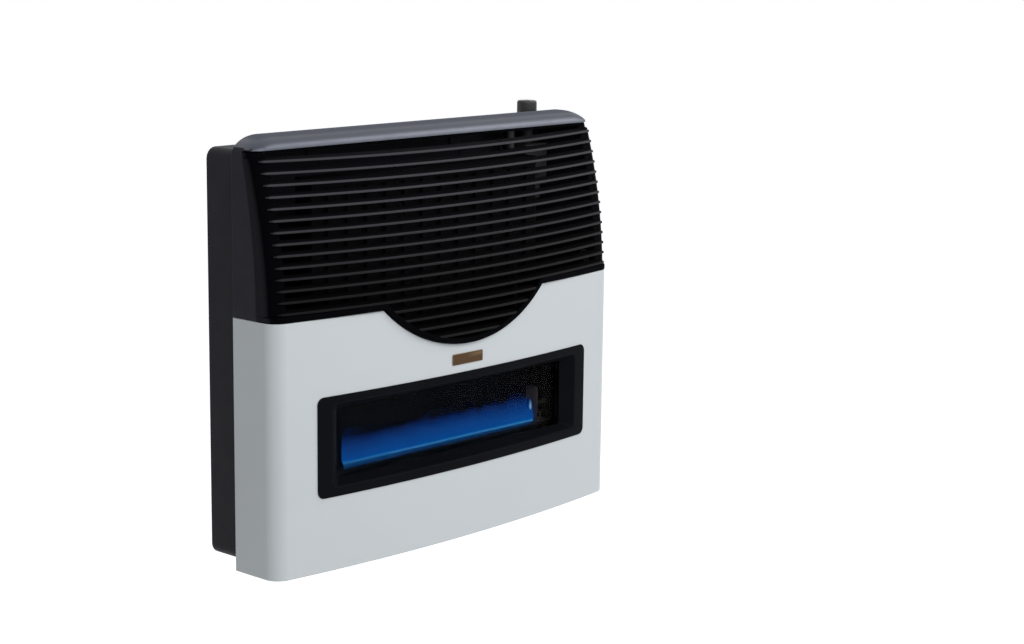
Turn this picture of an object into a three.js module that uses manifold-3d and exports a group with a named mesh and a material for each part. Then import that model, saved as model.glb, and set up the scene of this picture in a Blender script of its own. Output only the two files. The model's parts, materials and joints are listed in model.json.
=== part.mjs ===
// A wall mounted, room sealed gas heater, in millimetres, +Z up, X to the right, the wall at Y = 0.
// Heights are first measured from the lower edge of the front cover and depths out from the wall.
// The outer group then brings the origin to the middle of the wall rail's back face.

import * as THREE from 'three';
import { mergeVertices } from 'three/addons/utils/BufferGeometryUtils.js';
import { ConvexGeometry } from 'three/addons/geometries/ConvexGeometry.js';
import Module from 'manifold-3d';

const wasm = await Module();
wasm.setup();

// ---------------------------------------------------------------- driving dimensions

const gap = 0.3;                    // clearance between pieces that touch
const sheet = 1.5;                  // sheet steel thickness

const railHeight = 565;             // middle of the wall rail
const railThickness = 2.7;
const casingBack = railThickness + gap;

const casing = { halfWidth: 348, bottom: 10, top: 599, radius: 16, front: 100 };

const cover = { halfWidth: 358, height: 620, back: 67, cornerRadius: 22 };
const panelDepth = 179;             // wall to the middle of the pale panel
const panelBow = 26;                // how far the panel's sides lie behind its middle
const junctionHeight = 367;         // top edge of the pale panel

const dipLow = 298.4;               // lowest point of the round dip in that edge
const dipRadius = 241.2;
const dipCentre = dipLow + dipRadius;

const grilleDepth = 186;            // wall to the frontmost point of the grille
const grilleBow = 33;
const grilleCorner = 20;
const grilleWall = 14;              // how deep the rim and the blades are, front to back
const leanStart = 340;              // height from which the grille leans back
const leanRadius = 840;
const grilleTop = 600;
const uprightWidth = 24;
const uprightRecess = 4.5;          // the uprights lie this far behind the blades
const uprightStep = 4;              // and this much further over the top blade
const rimWidth = 9;
const bladeCount = 18;
const bladeTop = 587.5;
const bladePitch = 16;
const bladeHeight = 3.2;
const bladeRise = 0.3;              // rise of a blade per millimetre towards the wall
const bladeEnd = 346;

const seamDepth = 117.5;            // front edge of the cover's gables at the junction
const seamRadius = 965;
const capFront = 112;               // front edge of the top cap
const capFlat = 80;                 // where the flat top starts to round down
const capLip = 601;                 // lower edge of the cap
const capEnd = { across: 46, down: 28, plan: 27 };                  // rounding of the cap's ends

const bezel = { halfWidth: 287, low: 108.5, high: 255, radius: 11, stands: 1.8, back: 150 };
const panelWindow = { halfWidth: 281, low: 114, high: 249, radius: 8 };

const flue = { height: 420, pipeRadius: 38, collarRadius: 64, flangeRadius: 72 };
const exchangerBack = 78;
const exchanger = { left: -250, right: 222, low: 294, high: 556, front: 112 };
const chamber = { halfWidth: 262, low: 92, high: 293.7, front: 134, flange: 10 };
const burner = { radius: 15, depth: 108, height: 112, left: -235, right: 236, ports: 18 };
const glass = { halfWidth: 256, low: 116, high: 246, back: 140.6, thickness: 4 };

const knob = { x: 286, depth: 35, radius: 16.5, low: 606.5, high: 634, travel: 5 };
const igniter = { x: 246, depth: 35, low: 560, bodyRadius: 9, buttonRadius: 5.2, travel: 6 };
const valve = { left: 262, right: 312, back: 12, front: 56, low: 500, high: 566 };
const inlet = { x: 304, depth: 26, pipeRadius: 4.8, low: 1, shankTop: 36 };
const pilot = { flagLeft: 226.3, depth: 100, height: 140 };
const spark = { depth: pilot.depth + 4, height: pilot.height + 16 };
const couple = { depth: pilot.depth + 10, height: pilot.height + 4 };

const rail = { halfWidth: 200, halfHeight: 20, hooks: [-150, 150], holes: [-185, -60, 60, 185] };
const spacer = { x: 270, height: 60, radius: 13 };
const fixing = { x: 320, height: 40, radius: 3 };
const duct = { halfWidth: 76, low: 100, high: 500 };
const airPort = { halfWidth: 60, low: 112, high: 140 };             // from the duct into the chamber
const gasSlot = { left: -230, right: 200, back: 86, front: 104 };   // from the chamber into the exchanger
const windowClear = { halfWidth: 248, low: 126, high: 236 };        // what the window's frames leave open
const gasketThickness = 1.7;
const coverScrewAt = { x: 325, depth: 85 };
const bracketBack = casingBack + sheet + gap;                       // clear of the casing's back sheet

// ---------------------------------------------------------------- geometry helpers

// Shared vertices, no collapsed faces, all faces pointing out.
function weld(source) {
  const bare = source.index ? source.toNonIndexed() : source.clone();
  bare.deleteAttribute('normal');
  bare.deleteAttribute('uv');
  const merged = mergeVertices(bare, 1e-4);
  const place = merged.attributes.position;
  const kept = [];
  let volume = 0;
  const corner = [new THREE.Vector3(), new THREE.Vector3(), new THREE.Vector3()];
  for (let i = 0; i < merged.index.count; i += 3) {
    const face = [0, 1, 2].map((k) => merged.index.getX(i + k));
    if (face[0] === face[1] || face[1] === face[2] || face[2] === face[0]) {
      continue;
    }
    corner.forEach((point, k) => point.fromBufferAttribute(place, face[k]));
    volume += corner[0].dot(corner[1].clone().cross(corner[2]));
    kept.push(face);
  }
  const order = volume > 0 ? [0, 1, 2] : [0, 2, 1];
  const faces = kept.flatMap((face) => order.map((k) => face[k]));
  return { positions: new Float32Array(place.array), faces };
}

function solid(geometry) {
  const { positions, faces } = weld(geometry);
  const mesh = new wasm.Mesh({ numProp: 3, vertProperties: positions, triVerts: new Uint32Array(faces) });
  return new wasm.Manifold(mesh);
}

function join(first, ...others) {
  return others.reduce((whole, piece) => whole.add(piece), first);
}

function cut(body, ...tools) {
  return tools.reduce((whole, tool) => whole.subtract(tool), body);
}

// A box between two values on each axis: X, depth out from the wall, and height.
function block(x0, x1, depth0, depth1, z0, z1) {
  const geometry = new THREE.BoxGeometry(x1 - x0, depth1 - depth0, z1 - z0);
  geometry.translate((x0 + x1) / 2, -(depth0 + depth1) / 2, (z0 + z1) / 2);
  return solid(geometry);
}

function extruded(shape, depth, steps = 1) {
  return new THREE.ExtrudeGeometry(shape, { depth, steps, bevelEnabled: false, curveSegments: 12 });
}

// A shape drawn as (X, height), run out from the wall.
function outward(shape, depth0, depth1) {
  const geometry = extruded(shape, depth1 - depth0);
  geometry.rotateX(Math.PI / 2);
  geometry.translate(0, -depth0, 0);
  return solid(geometry);
}

// A shape drawn as (depth, height), run along X.
function alongX(shape, x0, x1) {
  const geometry = extruded(shape, x1 - x0);
  const down = new THREE.Vector3(0, -1, 0);
  const up = new THREE.Vector3(0, 0, 1);
  const left = new THREE.Vector3(-1, 0, 0);
  geometry.applyMatrix4(new THREE.Matrix4().makeBasis(down, up, left));
  geometry.translate(x1, 0, 0);
  return solid(geometry);
}

// A shape drawn in plan as (X, Y), run upward.
function upward(shape, z0, z1) {
  const geometry = extruded(shape, z1 - z0);
  geometry.translate(0, 0, z0);
  return solid(geometry);
}

function polygon(points) {
  return new THREE.Shape(points.map(([x, y]) => new THREE.Vector2(x, y)));
}

function circle(x, y, radius, sides) {
  const points = [];
  for (let i = 0; i < sides; i += 1) {
    const angle = (2 * Math.PI * (i + 0.5)) / sides;
    points.push([x + radius * Math.cos(angle), y + radius * Math.sin(angle)]);
  }
  return polygon(points);
}

function roundedBox(x0, y0, x1, y1, radius, segments = 5) {
  const points = [];
  const corners = [[x1, y1, 0], [x0, y1, 1], [x0, y0, 2], [x1, y0, 3]];
  corners.forEach(([x, y, quarter]) => {
    const cx = x > (x0 + x1) / 2 ? x - radius : x + radius;
    const cy = y > (y0 + y1) / 2 ? y - radius : y + radius;
    for (let i = 0; i <= segments; i += 1) {
      const angle = (Math.PI / 2) * (quarter + i / segments);
      points.push([cx + radius * Math.cos(angle), cy + radius * Math.sin(angle)]);
    }
  });
  return polygon(points);
}

// A round body about an axis, from (radius, distance along the axis) pairs.
const axisTurns = {
  up: (geometry) => geometry.rotateX(Math.PI / 2),
  out: (geometry) => geometry.rotateX(Math.PI),
  right: (geometry) => geometry.rotateZ(-Math.PI / 2),
};

function turned(profile, axis, x, depth, z, sides = 24) {
  const points = profile.map(([radius, along]) => new THREE.Vector2(radius, along));
  const geometry = new THREE.LatheGeometry(points, sides);
  axisTurns[axis](geometry);
  geometry.translate(x, -depth, z);
  return solid(geometry);
}

// A ring or tube about an axis, closed on itself.
function ring(inner, outer, from, to, axis, x, depth, z, sides = 24) {
  const profile = [[inner, from], [outer, from], [outer, to], [inner, to], [inner, from]];
  return turned(profile, axis, x, depth, z, sides);
}

function disc(radius, from, to, axis, x, depth, z, sides = 24) {
  return turned([[0, from], [radius, from], [radius, to], [0, to]], axis, x, depth, z, sides);
}

// A path through points that is stepped from point to point, however far apart they are.
class Route extends THREE.Curve {
  constructor(points) {
    super();
    this.points = points;
  }

  getUtoTmapping(u) {
    return u;
  }

  getPoint(t, target = new THREE.Vector3()) {
    const place = t * (this.points.length - 1);
    const index = Math.min(Math.floor(place), this.points.length - 2);
    return target.lerpVectors(this.points[index], this.points[index + 1], place - index);
  }
}

// A solid tube through points given as [X, depth, height], with rounded bends.
function tubeAlong(stops, bend, radius, sides) {
  const corners = stops.map(([x, depth, z]) => new THREE.Vector3(x, -depth, z));
  const points = [corners[0]];
  const bendSteps = 4;
  for (let i = 1; i < corners.length - 1; i += 1) {
    const before = corners[i].clone().sub(corners[i - 1]).setLength(bend);
    const after = corners[i + 1].clone().sub(corners[i]).setLength(bend);
    const enter = corners[i].clone().sub(before);
    const leave = corners[i].clone().add(after);
    points.push(...new THREE.QuadraticBezierCurve3(enter, corners[i], leave).getPoints(bendSteps));
  }
  points.push(corners[corners.length - 1]);
  const settings = { steps: points.length - 1, bevelEnabled: false, extrudePath: new Route(points) };
  return solid(new THREE.ExtrudeGeometry(circle(0, 0, radius, sides), settings));
}

// ---------------------------------------------------------------- plan outlines of the front

// Points from the left back edge, round the bowed front, to the right back edge.
function frontOutline(depth, bow, halfWidth, radius, back, segments = 20, arcSteps = 5) {
  const half = [];
  const flatEnd = halfWidth - radius;
  const tangent = Math.atan((2 * bow * flatEnd) / cover.halfWidth ** 2);
  const arcRadius = radius / (1 - Math.sin(tangent));
  const endDepth = depth - bow * (flatEnd / cover.halfWidth) ** 2;
  const centreX = halfWidth - arcRadius;
  const centreY = -endDepth + arcRadius * Math.cos(tangent);
  for (let i = 0; i <= segments / 2; i += 1) {
    const x = (flatEnd * i) / (segments / 2);
    half.push([x, -depth + bow * (x / cover.halfWidth) ** 2]);
  }
  for (let i = 1; i <= arcSteps; i += 1) {
    const angle = -Math.PI / 2 + tangent + ((Math.PI / 2 - tangent) * i) / arcSteps;
    half.push([centreX + arcRadius * Math.cos(angle), centreY + arcRadius * Math.sin(angle)]);
  }
  half.push([halfWidth, -back]);
  const mirrored = half.slice(1).reverse().map(([x, y]) => [-x, y]);
  return [...mirrored, ...half];
}

// How far the grille has leaned back at a height.
function lean(z) {
  const rise = Math.max(0, z - leanStart);
  return leanRadius - Math.sqrt(leanRadius ** 2 - rise ** 2);
}

// The plan band between two outlines, swept up along the grille's lean.
function leaningBand(outer, inner, z0, z1, steps) {
  const shape = polygon([...outer, ...inner.slice().reverse()]);
  const geometry = extruded(shape, z1 - z0, steps);
  geometry.translate(0, 0, z0);
  const place = geometry.attributes.position;
  for (let i = 0; i < place.count; i += 1) {
    place.setY(i, place.getY(i) + lean(place.getZ(i)));
  }
  return solid(geometry);
}

// The region of the grille as seen from the front, drawn in with a margin.
function grilleRegion(halfWidth, low, radius, high) {
  const points = [[-halfWidth, high], [-halfWidth, low]];
  const half = Math.sqrt(radius ** 2 - (dipCentre - low) ** 2);
  const reach = Math.atan2(half, dipCentre - low);
  const steps = 20;
  for (let i = 0; i <= steps; i += 1) {
    const angle = -reach + (2 * reach * i) / steps;
    points.push([radius * Math.sin(angle), dipCentre - radius * Math.cos(angle)]);
  }
  points.push([halfWidth, low], [halfWidth, high]);
  return polygon(points);
}

// ---------------------------------------------------------------- wall side pieces

function wallRail() {
  const { halfWidth, halfHeight } = rail;
  const low = railHeight - halfHeight;
  const plate = block(-halfWidth, halfWidth, 0, railThickness, low, low + 2 * halfHeight);
  const hookLow = railHeight + 5;
  const hookFront = 7.5;
  const hookSheet = 2.5;
  const hooks = rail.hooks.flatMap((x) => [
    block(x - 12, x + 12, railThickness - 0.5, hookFront, hookLow, hookLow + hookSheet),
    block(x - 12, x + 12, hookFront - hookSheet, hookFront, hookLow, hookLow + 12),
  ]);
  const holes = rail.holes.map((x) => disc(2.8, -1, 5, 'out', x, 0, railHeight, 16));
  return cut(join(plate, ...hooks), ...holes);
}

function rearCasing() {
  const { halfWidth, bottom, top, radius, front } = casing;
  const outer = outward(roundedBox(-halfWidth, bottom, halfWidth, top, radius), casingBack, front);
  const hollow = roundedBox(
    -halfWidth + sheet, bottom + sheet, halfWidth - sheet, top - sheet, radius - sheet,
  );
  const inner = outward(hollow, casingBack + sheet, front + 10);
  const hookSlots = rail.hooks.map((x) => block(x - 14, x + 14, 0, 10, railHeight - 12, railHeight + 7.8));
  const fixings = [-1, 1].map((side) => (
    disc(fixing.radius, 0, 10, 'out', side * fixing.x, 0, fixing.height, 16)
  ));
  const ventHole = disc(flue.collarRadius + gap, 0, 10, 'out', 0, 0, flue.height, 32);
  const spindleHole = disc(7, top - 5, top + 5, 'up', knob.x, knob.depth, 0, 20);
  const igniterHole = disc(7.4, top - 5, top + 5, 'up', igniter.x, igniter.depth, 0, 20);
  const inletHole = disc(8.8, bottom - 5, bottom + 5, 'up', inlet.x, inlet.depth, 0, 20);
  const airSlots = [];
  for (let x = -290; x <= 190; x += 80) {
    airSlots.push(block(x, x + 60, 30, 70, bottom - 5, bottom + 5));
  }
  return cut(
    outer, inner, ventHole, spindleHole, igniterHole, inletHole, ...hookSlots, ...fixings, ...airSlots,
  );
}

// A strut from the casing's back sheet to the back of the combustion chamber.
function chamberSupport(x) {
  const front = exchangerBack - gap;
  const low = 120;
  return join(
    block(x - 10, x + 10, bracketBack, front, low, low + 2),
    block(x - 10, x + 10, bracketBack, bracketBack + 2, low, low + 20),
    block(x - 10, x + 10, front - 2, front, low, low + 20),
  );
}

// ---------------------------------------------------------------- air and flue

function airInletCollar() {
  const { collarRadius, flangeRadius, height } = flue;
  const seat = bracketBack;
  const inner = collarRadius - sheet;
  const end = 24;
  const profile = [
    [inner, gap], [collarRadius, gap], [collarRadius, seat], [flangeRadius, seat],
    [flangeRadius, seat + sheet], [collarRadius, seat + sheet], [collarRadius, end], [inner, end],
    [inner, gap],
  ];
  return turned(profile, 'out', 0, 0, height, 32);
}

function flueOutletPipe() {
  return ring(flue.pipeRadius - sheet, flue.pipeRadius, gap, 84, 'out', 0, 0, flue.height, 32);
}

// The duct that brings outside air from the collar down to the foot of the chamber.
function airDuct() {
  const { halfWidth, low, high } = duct;
  const back = bracketBack + sheet + gap;
  const front = exchangerBack - gap;
  const outer = block(-halfWidth, halfWidth, back, front, low, high);
  const inner = block(
    -halfWidth + sheet, halfWidth - sheet, back + sheet, front - sheet, low + sheet, high - sheet,
  );
  const collarHole = disc(flue.collarRadius + gap, 0, back + 5, 'out', 0, 0, flue.height, 32);
  const pipeHole = disc(flue.pipeRadius + gap, front - 5, front + 5, 'out', 0, 0, flue.height, 32);
  return cut(outer, inner, collarHole, pipeHole, airPortHole(front));
}

function airPortHole(depth) {
  return block(-airPort.halfWidth, airPort.halfWidth, depth - 5, depth + 5, airPort.low, airPort.high);
}

function gasSlotHole(height) {
  return block(gasSlot.left, gasSlot.right, gasSlot.back, gasSlot.front, height - 5, height + 5);
}

function heatExchanger() {
  const { left, right, low, high, front } = exchanger;
  const back = exchangerBack;
  const outer = block(left, right, back, front, low, high);
  const inner = block(left + sheet, right - sheet, back + sheet, front - sheet, low + sheet, high - sheet);
  const pipeHole = disc(flue.pipeRadius + gap, back - 5, back + 5, 'out', 0, 0, flue.height, 32);
  const ribs = [];
  const ribPitch = 38;
  for (let x = left + 26; x < right - 20; x += ribPitch) {
    ribs.push(block(x, x + 8, front - 0.5, front + 6, low + 16, high - 16));
  }
  return cut(join(outer, ...ribs), inner, gasSlotHole(low), pipeHole);
}

// The shelf that makes the hot gas turn on its way to the flue.
function exchangerBaffle() {
  const side = sheet + gap;
  const back = exchangerBack + side;
  const low = 370;
  return block(exchanger.left + side, exchanger.right - 90, back, exchanger.front - side, low, low + sheet);
}

// ---------------------------------------------------------------- combustion chamber and window

function frame(halfOuter, low, high, halfInner, innerLow, innerHigh, depth0, depth1) {
  const outer = block(-halfOuter, halfOuter, depth0, depth1, low, high);
  return cut(outer, block(-halfInner, halfInner, depth0 - 5, depth1 + 5, innerLow, innerHigh));
}

function combustionChamber() {
  const { halfWidth, low, high, front, flange } = chamber;
  const back = exchangerBack;
  const box = block(-halfWidth, halfWidth, back, front, low, high);
  const lip = block(-halfWidth - flange, halfWidth + flange, front - sheet, front, low - 8, high + 8);
  const inner = block(
    -halfWidth + sheet, halfWidth - sheet, back + sheet, front + 5, low + sheet, high - sheet,
  );
  const through = [[8, burner], [2.6, pilot], [2.1, couple], [3.4, spark]];
  const holes = through.map(([radius, place]) => (
    disc(radius, halfWidth - 5, halfWidth + 5, 'right', 0, place.depth, place.height, 14)
  ));
  return cut(join(box, lip), inner, gasSlotHole(high), airPortHole(back), ...holes);
}

function chamberGasket() {
  const { halfWidth, low, high } = chamber;
  const depth = chamber.front + gap;
  const over = 6;
  return frame(
    halfWidth + over, low - over, high + over, halfWidth - over, low + over, high - over,
    depth, depth + gasketThickness,
  );
}

function chamberFrontPlate() {
  const { halfWidth, low, high, flange } = chamber;
  const depth = chamber.front + 2 * gap + gasketThickness;
  const margin = 2;
  return frame(
    halfWidth + flange, low - 8, high + 8,
    windowClear.halfWidth - margin, windowClear.low - margin, windowClear.high + margin,
    depth, depth + sheet + 0.2,
  );
}

function glassGasket() {
  const margin = 1;
  return frame(
    glass.halfWidth, glass.low, glass.high,
    windowClear.halfWidth - margin, windowClear.low - margin, windowClear.high + margin,
    glass.back - 2.3, glass.back - gap,
  );
}

function windowGlass() {
  const { halfWidth, low, high, back, thickness } = glass;
  return outward(roundedBox(-halfWidth, low, halfWidth, high, 3, 2), back, back + thickness);
}

const retainer = { halfWidth: 268, low: 106, high: 256, front: 146.4, screwX: 263, screwInset: 5 };

function glassRetainer() {
  const { halfWidth, low, high, front, screwX, screwInset } = retainer;
  const face = glass.back + glass.thickness + gap;
  const room = 1.5;
  const edge = frame(
    halfWidth, low, high, glass.halfWidth + room, glass.low - room, glass.high + room,
    glass.back - 2.3, front,
  );
  const plate = frame(
    halfWidth, low, high, windowClear.halfWidth, windowClear.low, windowClear.high, face, front,
  );
  const holes = [-screwX, screwX].flatMap((x) => [low + screwInset, high - screwInset].map((z) => (
    disc(2.4, 130, 150, 'out', x, 0, z, 14)
  )));
  return cut(join(edge, plate), ...holes);
}

function retainerScrew(x, z) {
  const under = retainer.front + gap;
  const profile = [
    [0, glass.back - 2], [2, glass.back - 2], [2, under], [4, under], [4, under + 1.4],
    [3, under + 2.4], [0, under + 2.4],
  ];
  return turned(profile, 'out', x, 0, z, 14);
}

// ---------------------------------------------------------------- burner and pilot

function burnerTube() {
  const { radius, depth, height, left, right, ports } = burner;
  const tube = ring(radius - sheet, radius, left, right, 'right', 0, depth, height, 24);
  const cap = disc(radius, left, left + sheet, 'right', 0, depth, height, 24);
  const slots = [];
  for (let i = 0; i < ports; i += 1) {
    const x = left + 20 + ((right - left - 48) * i) / (ports - 1);
    slots.push(block(x, x + 8, depth - 1.5, depth + 1.5, height + radius - 4, height + radius + 2));
  }
  return cut(join(tube, cap), ...slots);
}

function burnerBracket(x) {
  const { radius, depth, height } = burner;
  const foot = block(x - 10, x + 10, depth - 14, depth + 14, chamber.low + sheet + gap, height - 5);
  return cut(foot, disc(radius + gap, x - 15, x + 15, 'right', 0, depth, height, 24));
}

function injectorNozzle() {
  const profile = [[0, 240], [2, 240], [5, 246], [5, 254], [7, 254], [7, 262], [0, 262]];
  return turned(profile, 'right', 0, burner.depth, burner.height, 16);
}

function injectorHolder() {
  const { depth, height } = burner;
  const x = chamber.halfWidth + gap;
  return join(
    block(x, x + 20, depth - 9, depth + 9, height - 9, height + 9),
    block(x, x + 4, depth - 14, depth + 14, height - 9, height + 9),
  );
}

function pilotBracket() {
  const { flagLeft, depth } = pilot;
  const right = chamber.halfWidth - sheet - gap;
  const low = 128;
  const back = depth - 6;
  const front = depth + 18;
  const foot = block(flagLeft, right, back, front, low, low + sheet);
  const flag = block(flagLeft, flagLeft + sheet, back, front, low, low + 58);
  const wallTab = block(right - sheet, right, back, back + 3, low, low + 8);
  const holes = [[2.5, pilot], [2, couple], [1.6, spark]].map(([radius, place]) => (
    disc(radius, flagLeft - 5, flagLeft + 5, 'right', 0, place.depth, place.height, 14)
  ));
  return cut(join(foot, flag, wallTab), ...holes);
}

function pilotHood() {
  const radius = 4.5;
  const x = pilot.flagLeft - gap - radius;
  const low = pilot.height - 9;
  const high = pilot.height + 11;
  const tube = ring(3.2, radius, low, high, 'up', x, pilot.depth, 0, 18);
  const floor = disc(radius, low, low + 2, 'up', x, pilot.depth, 0, 18);
  const mouth = block(x - 6, x + 1, pilot.depth - 1.5, pilot.depth + 1.5, high - 7, high + 5);
  return cut(join(tube, floor), mouth);
}

function electrodeInsulator() {
  const left = pilot.flagLeft + sheet + gap;
  const right = chamber.halfWidth + 6;
  const bore = 1.3;
  const profile = [[bore, left], [2, left], [3, left + 3], [3, right], [bore, right], [bore, left]];
  return turned(profile, 'right', 0, spark.depth, spark.height, 16);
}

function sparkElectrode() {
  return disc(1, pilot.flagLeft - 11, chamber.halfWidth + 5, 'right', 0, spark.depth, spark.height, 10);
}

// ---------------------------------------------------------------- gas valve and its pipes

const magnetUnit = { x: 296, depth: 46, low: valve.low - 22 };

function gasValveBody() {
  const { left, right, back, front, low, high } = valve;
  const body = block(left, right, back, front, low, high);
  const boss = disc(10, high - 1, high + 24, 'up', knob.x, knob.depth, 0, 24);
  const magnet = disc(8, magnetUnit.low, low + 1, 'up', magnetUnit.x, magnetUnit.depth, 0, 20);
  const regulator = disc(13, front - 1, front + 8, 'out', knob.x + 2, 0, low + 30, 24);
  const bore = disc(4.5, low + 44, high + 30, 'up', knob.x, knob.depth, 0, 20);
  return cut(join(body, boss, magnet, regulator), bore);
}

function valveBracket() {
  const side = valve.right + gap;
  const { left, low, high } = valve;
  return join(
    block(left - 10, side + sheet, bracketBack, bracketBack + sheet, low + 8, high - 8),
    block(side, side + sheet, bracketBack, 40, low + 12, high - 16),
  );
}

function valveSpindle() {
  const shaft = disc(4, valve.low + 45, 622, 'up', knob.x, knob.depth, 0, 20);
  const groove = ring(3.2, 6, valve.high + 26, valve.high + 28, 'up', knob.x, knob.depth, 0, 20);
  const flat = block(knob.x - 5, knob.x + 5, knob.depth + 2.8, knob.depth + 6, 607, 630);
  return cut(shaft, groove, flat);
}

function gasInletPipe() {
  const { x, depth, pipeRadius, shankTop } = inlet;
  return ring(3.4, pipeRadius, shankTop + gap, valve.low - gap, 'up', x, depth, 0, 14);
}

function gasInletFitting() {
  const { x, depth, low, shankTop } = inlet;
  const shank = disc(8.5, low, shankTop, 'up', x, depth, 0, 24);
  const flangeLow = casing.bottom + sheet + gap;
  const hexagon = disc(13, flangeLow, flangeLow + 9, 'up', x, depth, 0, 6);
  return cut(join(shank, hexagon), disc(2.4, low - 1, low + 40, 'up', x, depth, 0, 12));
}

function inletLocknut() {
  const nut = disc(13, casing.bottom - 6.5, casing.bottom - gap, 'up', inlet.x, inlet.depth, 0, 6);
  return cut(nut, disc(8.8, 0, 15, 'up', inlet.x, inlet.depth, 0, 24));
}

function burnerFeedPipe() {
  const z = burner.height;
  const end = chamber.halfWidth + 2 * gap + 20;
  const stops = [
    [274, 30, valve.low - gap], [274, 30, z], [304, 66, z], [304, burner.depth, z], [end, burner.depth, z],
  ];
  return tubeAlong(stops, 20, 4, 10);
}

function pilotTube() {
  const { flagLeft, depth, height } = pilot;
  const x = 282;
  const end = flagLeft + 0.1;
  const stops = [[x, 44, valve.low - gap], [x, 44, height], [x, depth, height], [end, depth, height]];
  return tubeAlong(stops, 16, 2, 8);
}

function thermocouple() {
  const { depth, height } = couple;
  const { x, low, depth: startDepth } = magnetUnit;
  const tip = pilot.flagLeft - 13;
  const stops = [[x, startDepth, low - gap], [x, startDepth, 190], [x, depth, height], [tip, depth, height]];
  return tubeAlong(stops, 16, 1.5, 8);
}

function ignitionLead() {
  const { depth, height } = spark;
  const x = 290;
  const end = chamber.halfWidth + 6 + gap;
  const stops = [
    [igniter.x, igniter.depth, igniter.low - gap], [igniter.x, igniter.depth, 330], [x, 64, 290],
    [x, 64, 190], [x, depth, height], [end, depth, height],
  ];
  return tubeAlong(stops, 12, 2, 8);
}

const bulb = { left: 120, right: 228, depth: 20, height: 40, radius: 4.5 };

function thermostatBulb() {
  const { left, right, depth, height, radius } = bulb;
  const profile = [
    [0, left], [2.5, left], [radius, left + 3], [radius, right - 6], [1.8, right], [0, right],
  ];
  return turned(profile, 'right', 0, depth, height, 16);
}

function thermostatCapillary() {
  const { right, depth, height } = bulb;
  const stops = [[284, 18, valve.low - gap], [284, 18, height], [right + gap, depth, height]];
  return tubeAlong(stops, 18, 1.2, 6);
}

function bulbClip() {
  const body = block(166, 180, bracketBack, bulb.depth + 7, bulb.height - 7, bulb.height + 7);
  return cut(body, disc(bulb.radius + gap, 150, 200, 'right', 0, bulb.depth, bulb.height, 16));
}

// ---------------------------------------------------------------- controls on top

function controlBezel() {
  const low = casing.top + gap;
  const profile = [[7.5, low], [24, low], [24, low + 1], [22.5, low + 1.8], [7.5, low + 1.8], [7.5, low]];
  return turned(profile, 'up', knob.x, knob.depth, 0, 32);
}

function controlKnob() {
  const { x, depth, radius, low, high } = knob;
  const profile = [
    [0, low], [radius, low], [radius, low + 4], [radius - 1.5, low + 5], [radius - 2.5, high - 5],
    [radius - 4, high - 1.5], [radius - 7, high], [0, high],
  ];
  const body = turned(profile, 'up', x, depth, 0, 30);
  const flutes = [];
  for (let i = 0; i < 10; i += 1) {
    const angle = ((i + 0.5) * Math.PI) / 5;
    const reach = radius + 0.4;
    const fluteX = x + reach * Math.cos(angle);
    const fluteDepth = depth - reach * Math.sin(angle);
    flutes.push(disc(2.6, low + 5, high + 2, 'up', fluteX, fluteDepth, 0, 8));
  }
  const pointer = block(x - 1, x + 1, depth + 2, depth + radius - 4.5, high - 1, high + 0.8);
  const bore = disc(4.4, low - 1, 622 + knob.travel + 1, 'up', x, depth, 0, 20);
  const undercut = ring(7.5, radius - 4.5, low - 1, low + 12, 'up', x, depth, 0, 24);
  return cut(join(body, pointer), ...flutes, bore, undercut);
}

function igniterBody() {
  const { x, depth, low, bodyRadius, buttonRadius } = igniter;
  const neckTop = casing.top + 4;
  const shoulder = casing.top - sheet - gap;
  const bore = buttonRadius + gap;
  const boreFloor = low + 14;
  const profile = [
    [0, low], [bodyRadius, low], [bodyRadius, shoulder], [7, shoulder], [7, neckTop], [bore, neckTop],
    [bore, boreFloor], [0, boreFloor],
  ];
  return turned(profile, 'up', x, depth, 0, 24);
}

function igniterNut() {
  const outer = disc(11, casing.top + gap, casing.top + 3, 'up', igniter.x, igniter.depth, 0, 6);
  return cut(outer, disc(7.3, casing.top - 5, casing.top + 10, 'up', igniter.x, igniter.depth, 0, 24));
}

function igniterButton() {
  const { x, depth, buttonRadius, travel } = igniter;
  const stemLow = igniter.low + 22;
  const headLow = casing.top + 4 + travel + gap;
  const headRadius = buttonRadius + 1.2;
  const profile = [
    [0, stemLow], [buttonRadius, stemLow], [buttonRadius, headLow], [headRadius, headLow],
    [headRadius, headLow + 2.4], [buttonRadius, headLow + 3.4], [0, headLow + 3.6],
  ];
  return turned(profile, 'up', x, depth, 0, 24);
}

// ---------------------------------------------------------------- front cover

// The inward flange at the cover's back edge, round the casing.
function backFlange(low, high) {
  const clear = 0.8;
  const { halfWidth, bottom, top, radius } = casing;
  const casingRoom = roundedBox(
    -halfWidth - clear, bottom - 60, halfWidth + clear, top + clear, radius + clear,
  );
  const flange = cut(outward(arch(0.5, 0), cover.back, cover.back + sheet), outward(casingRoom, 0, 200));
  return flange.intersect(block(-400, 400, 0, 200, low, high));
}

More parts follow.
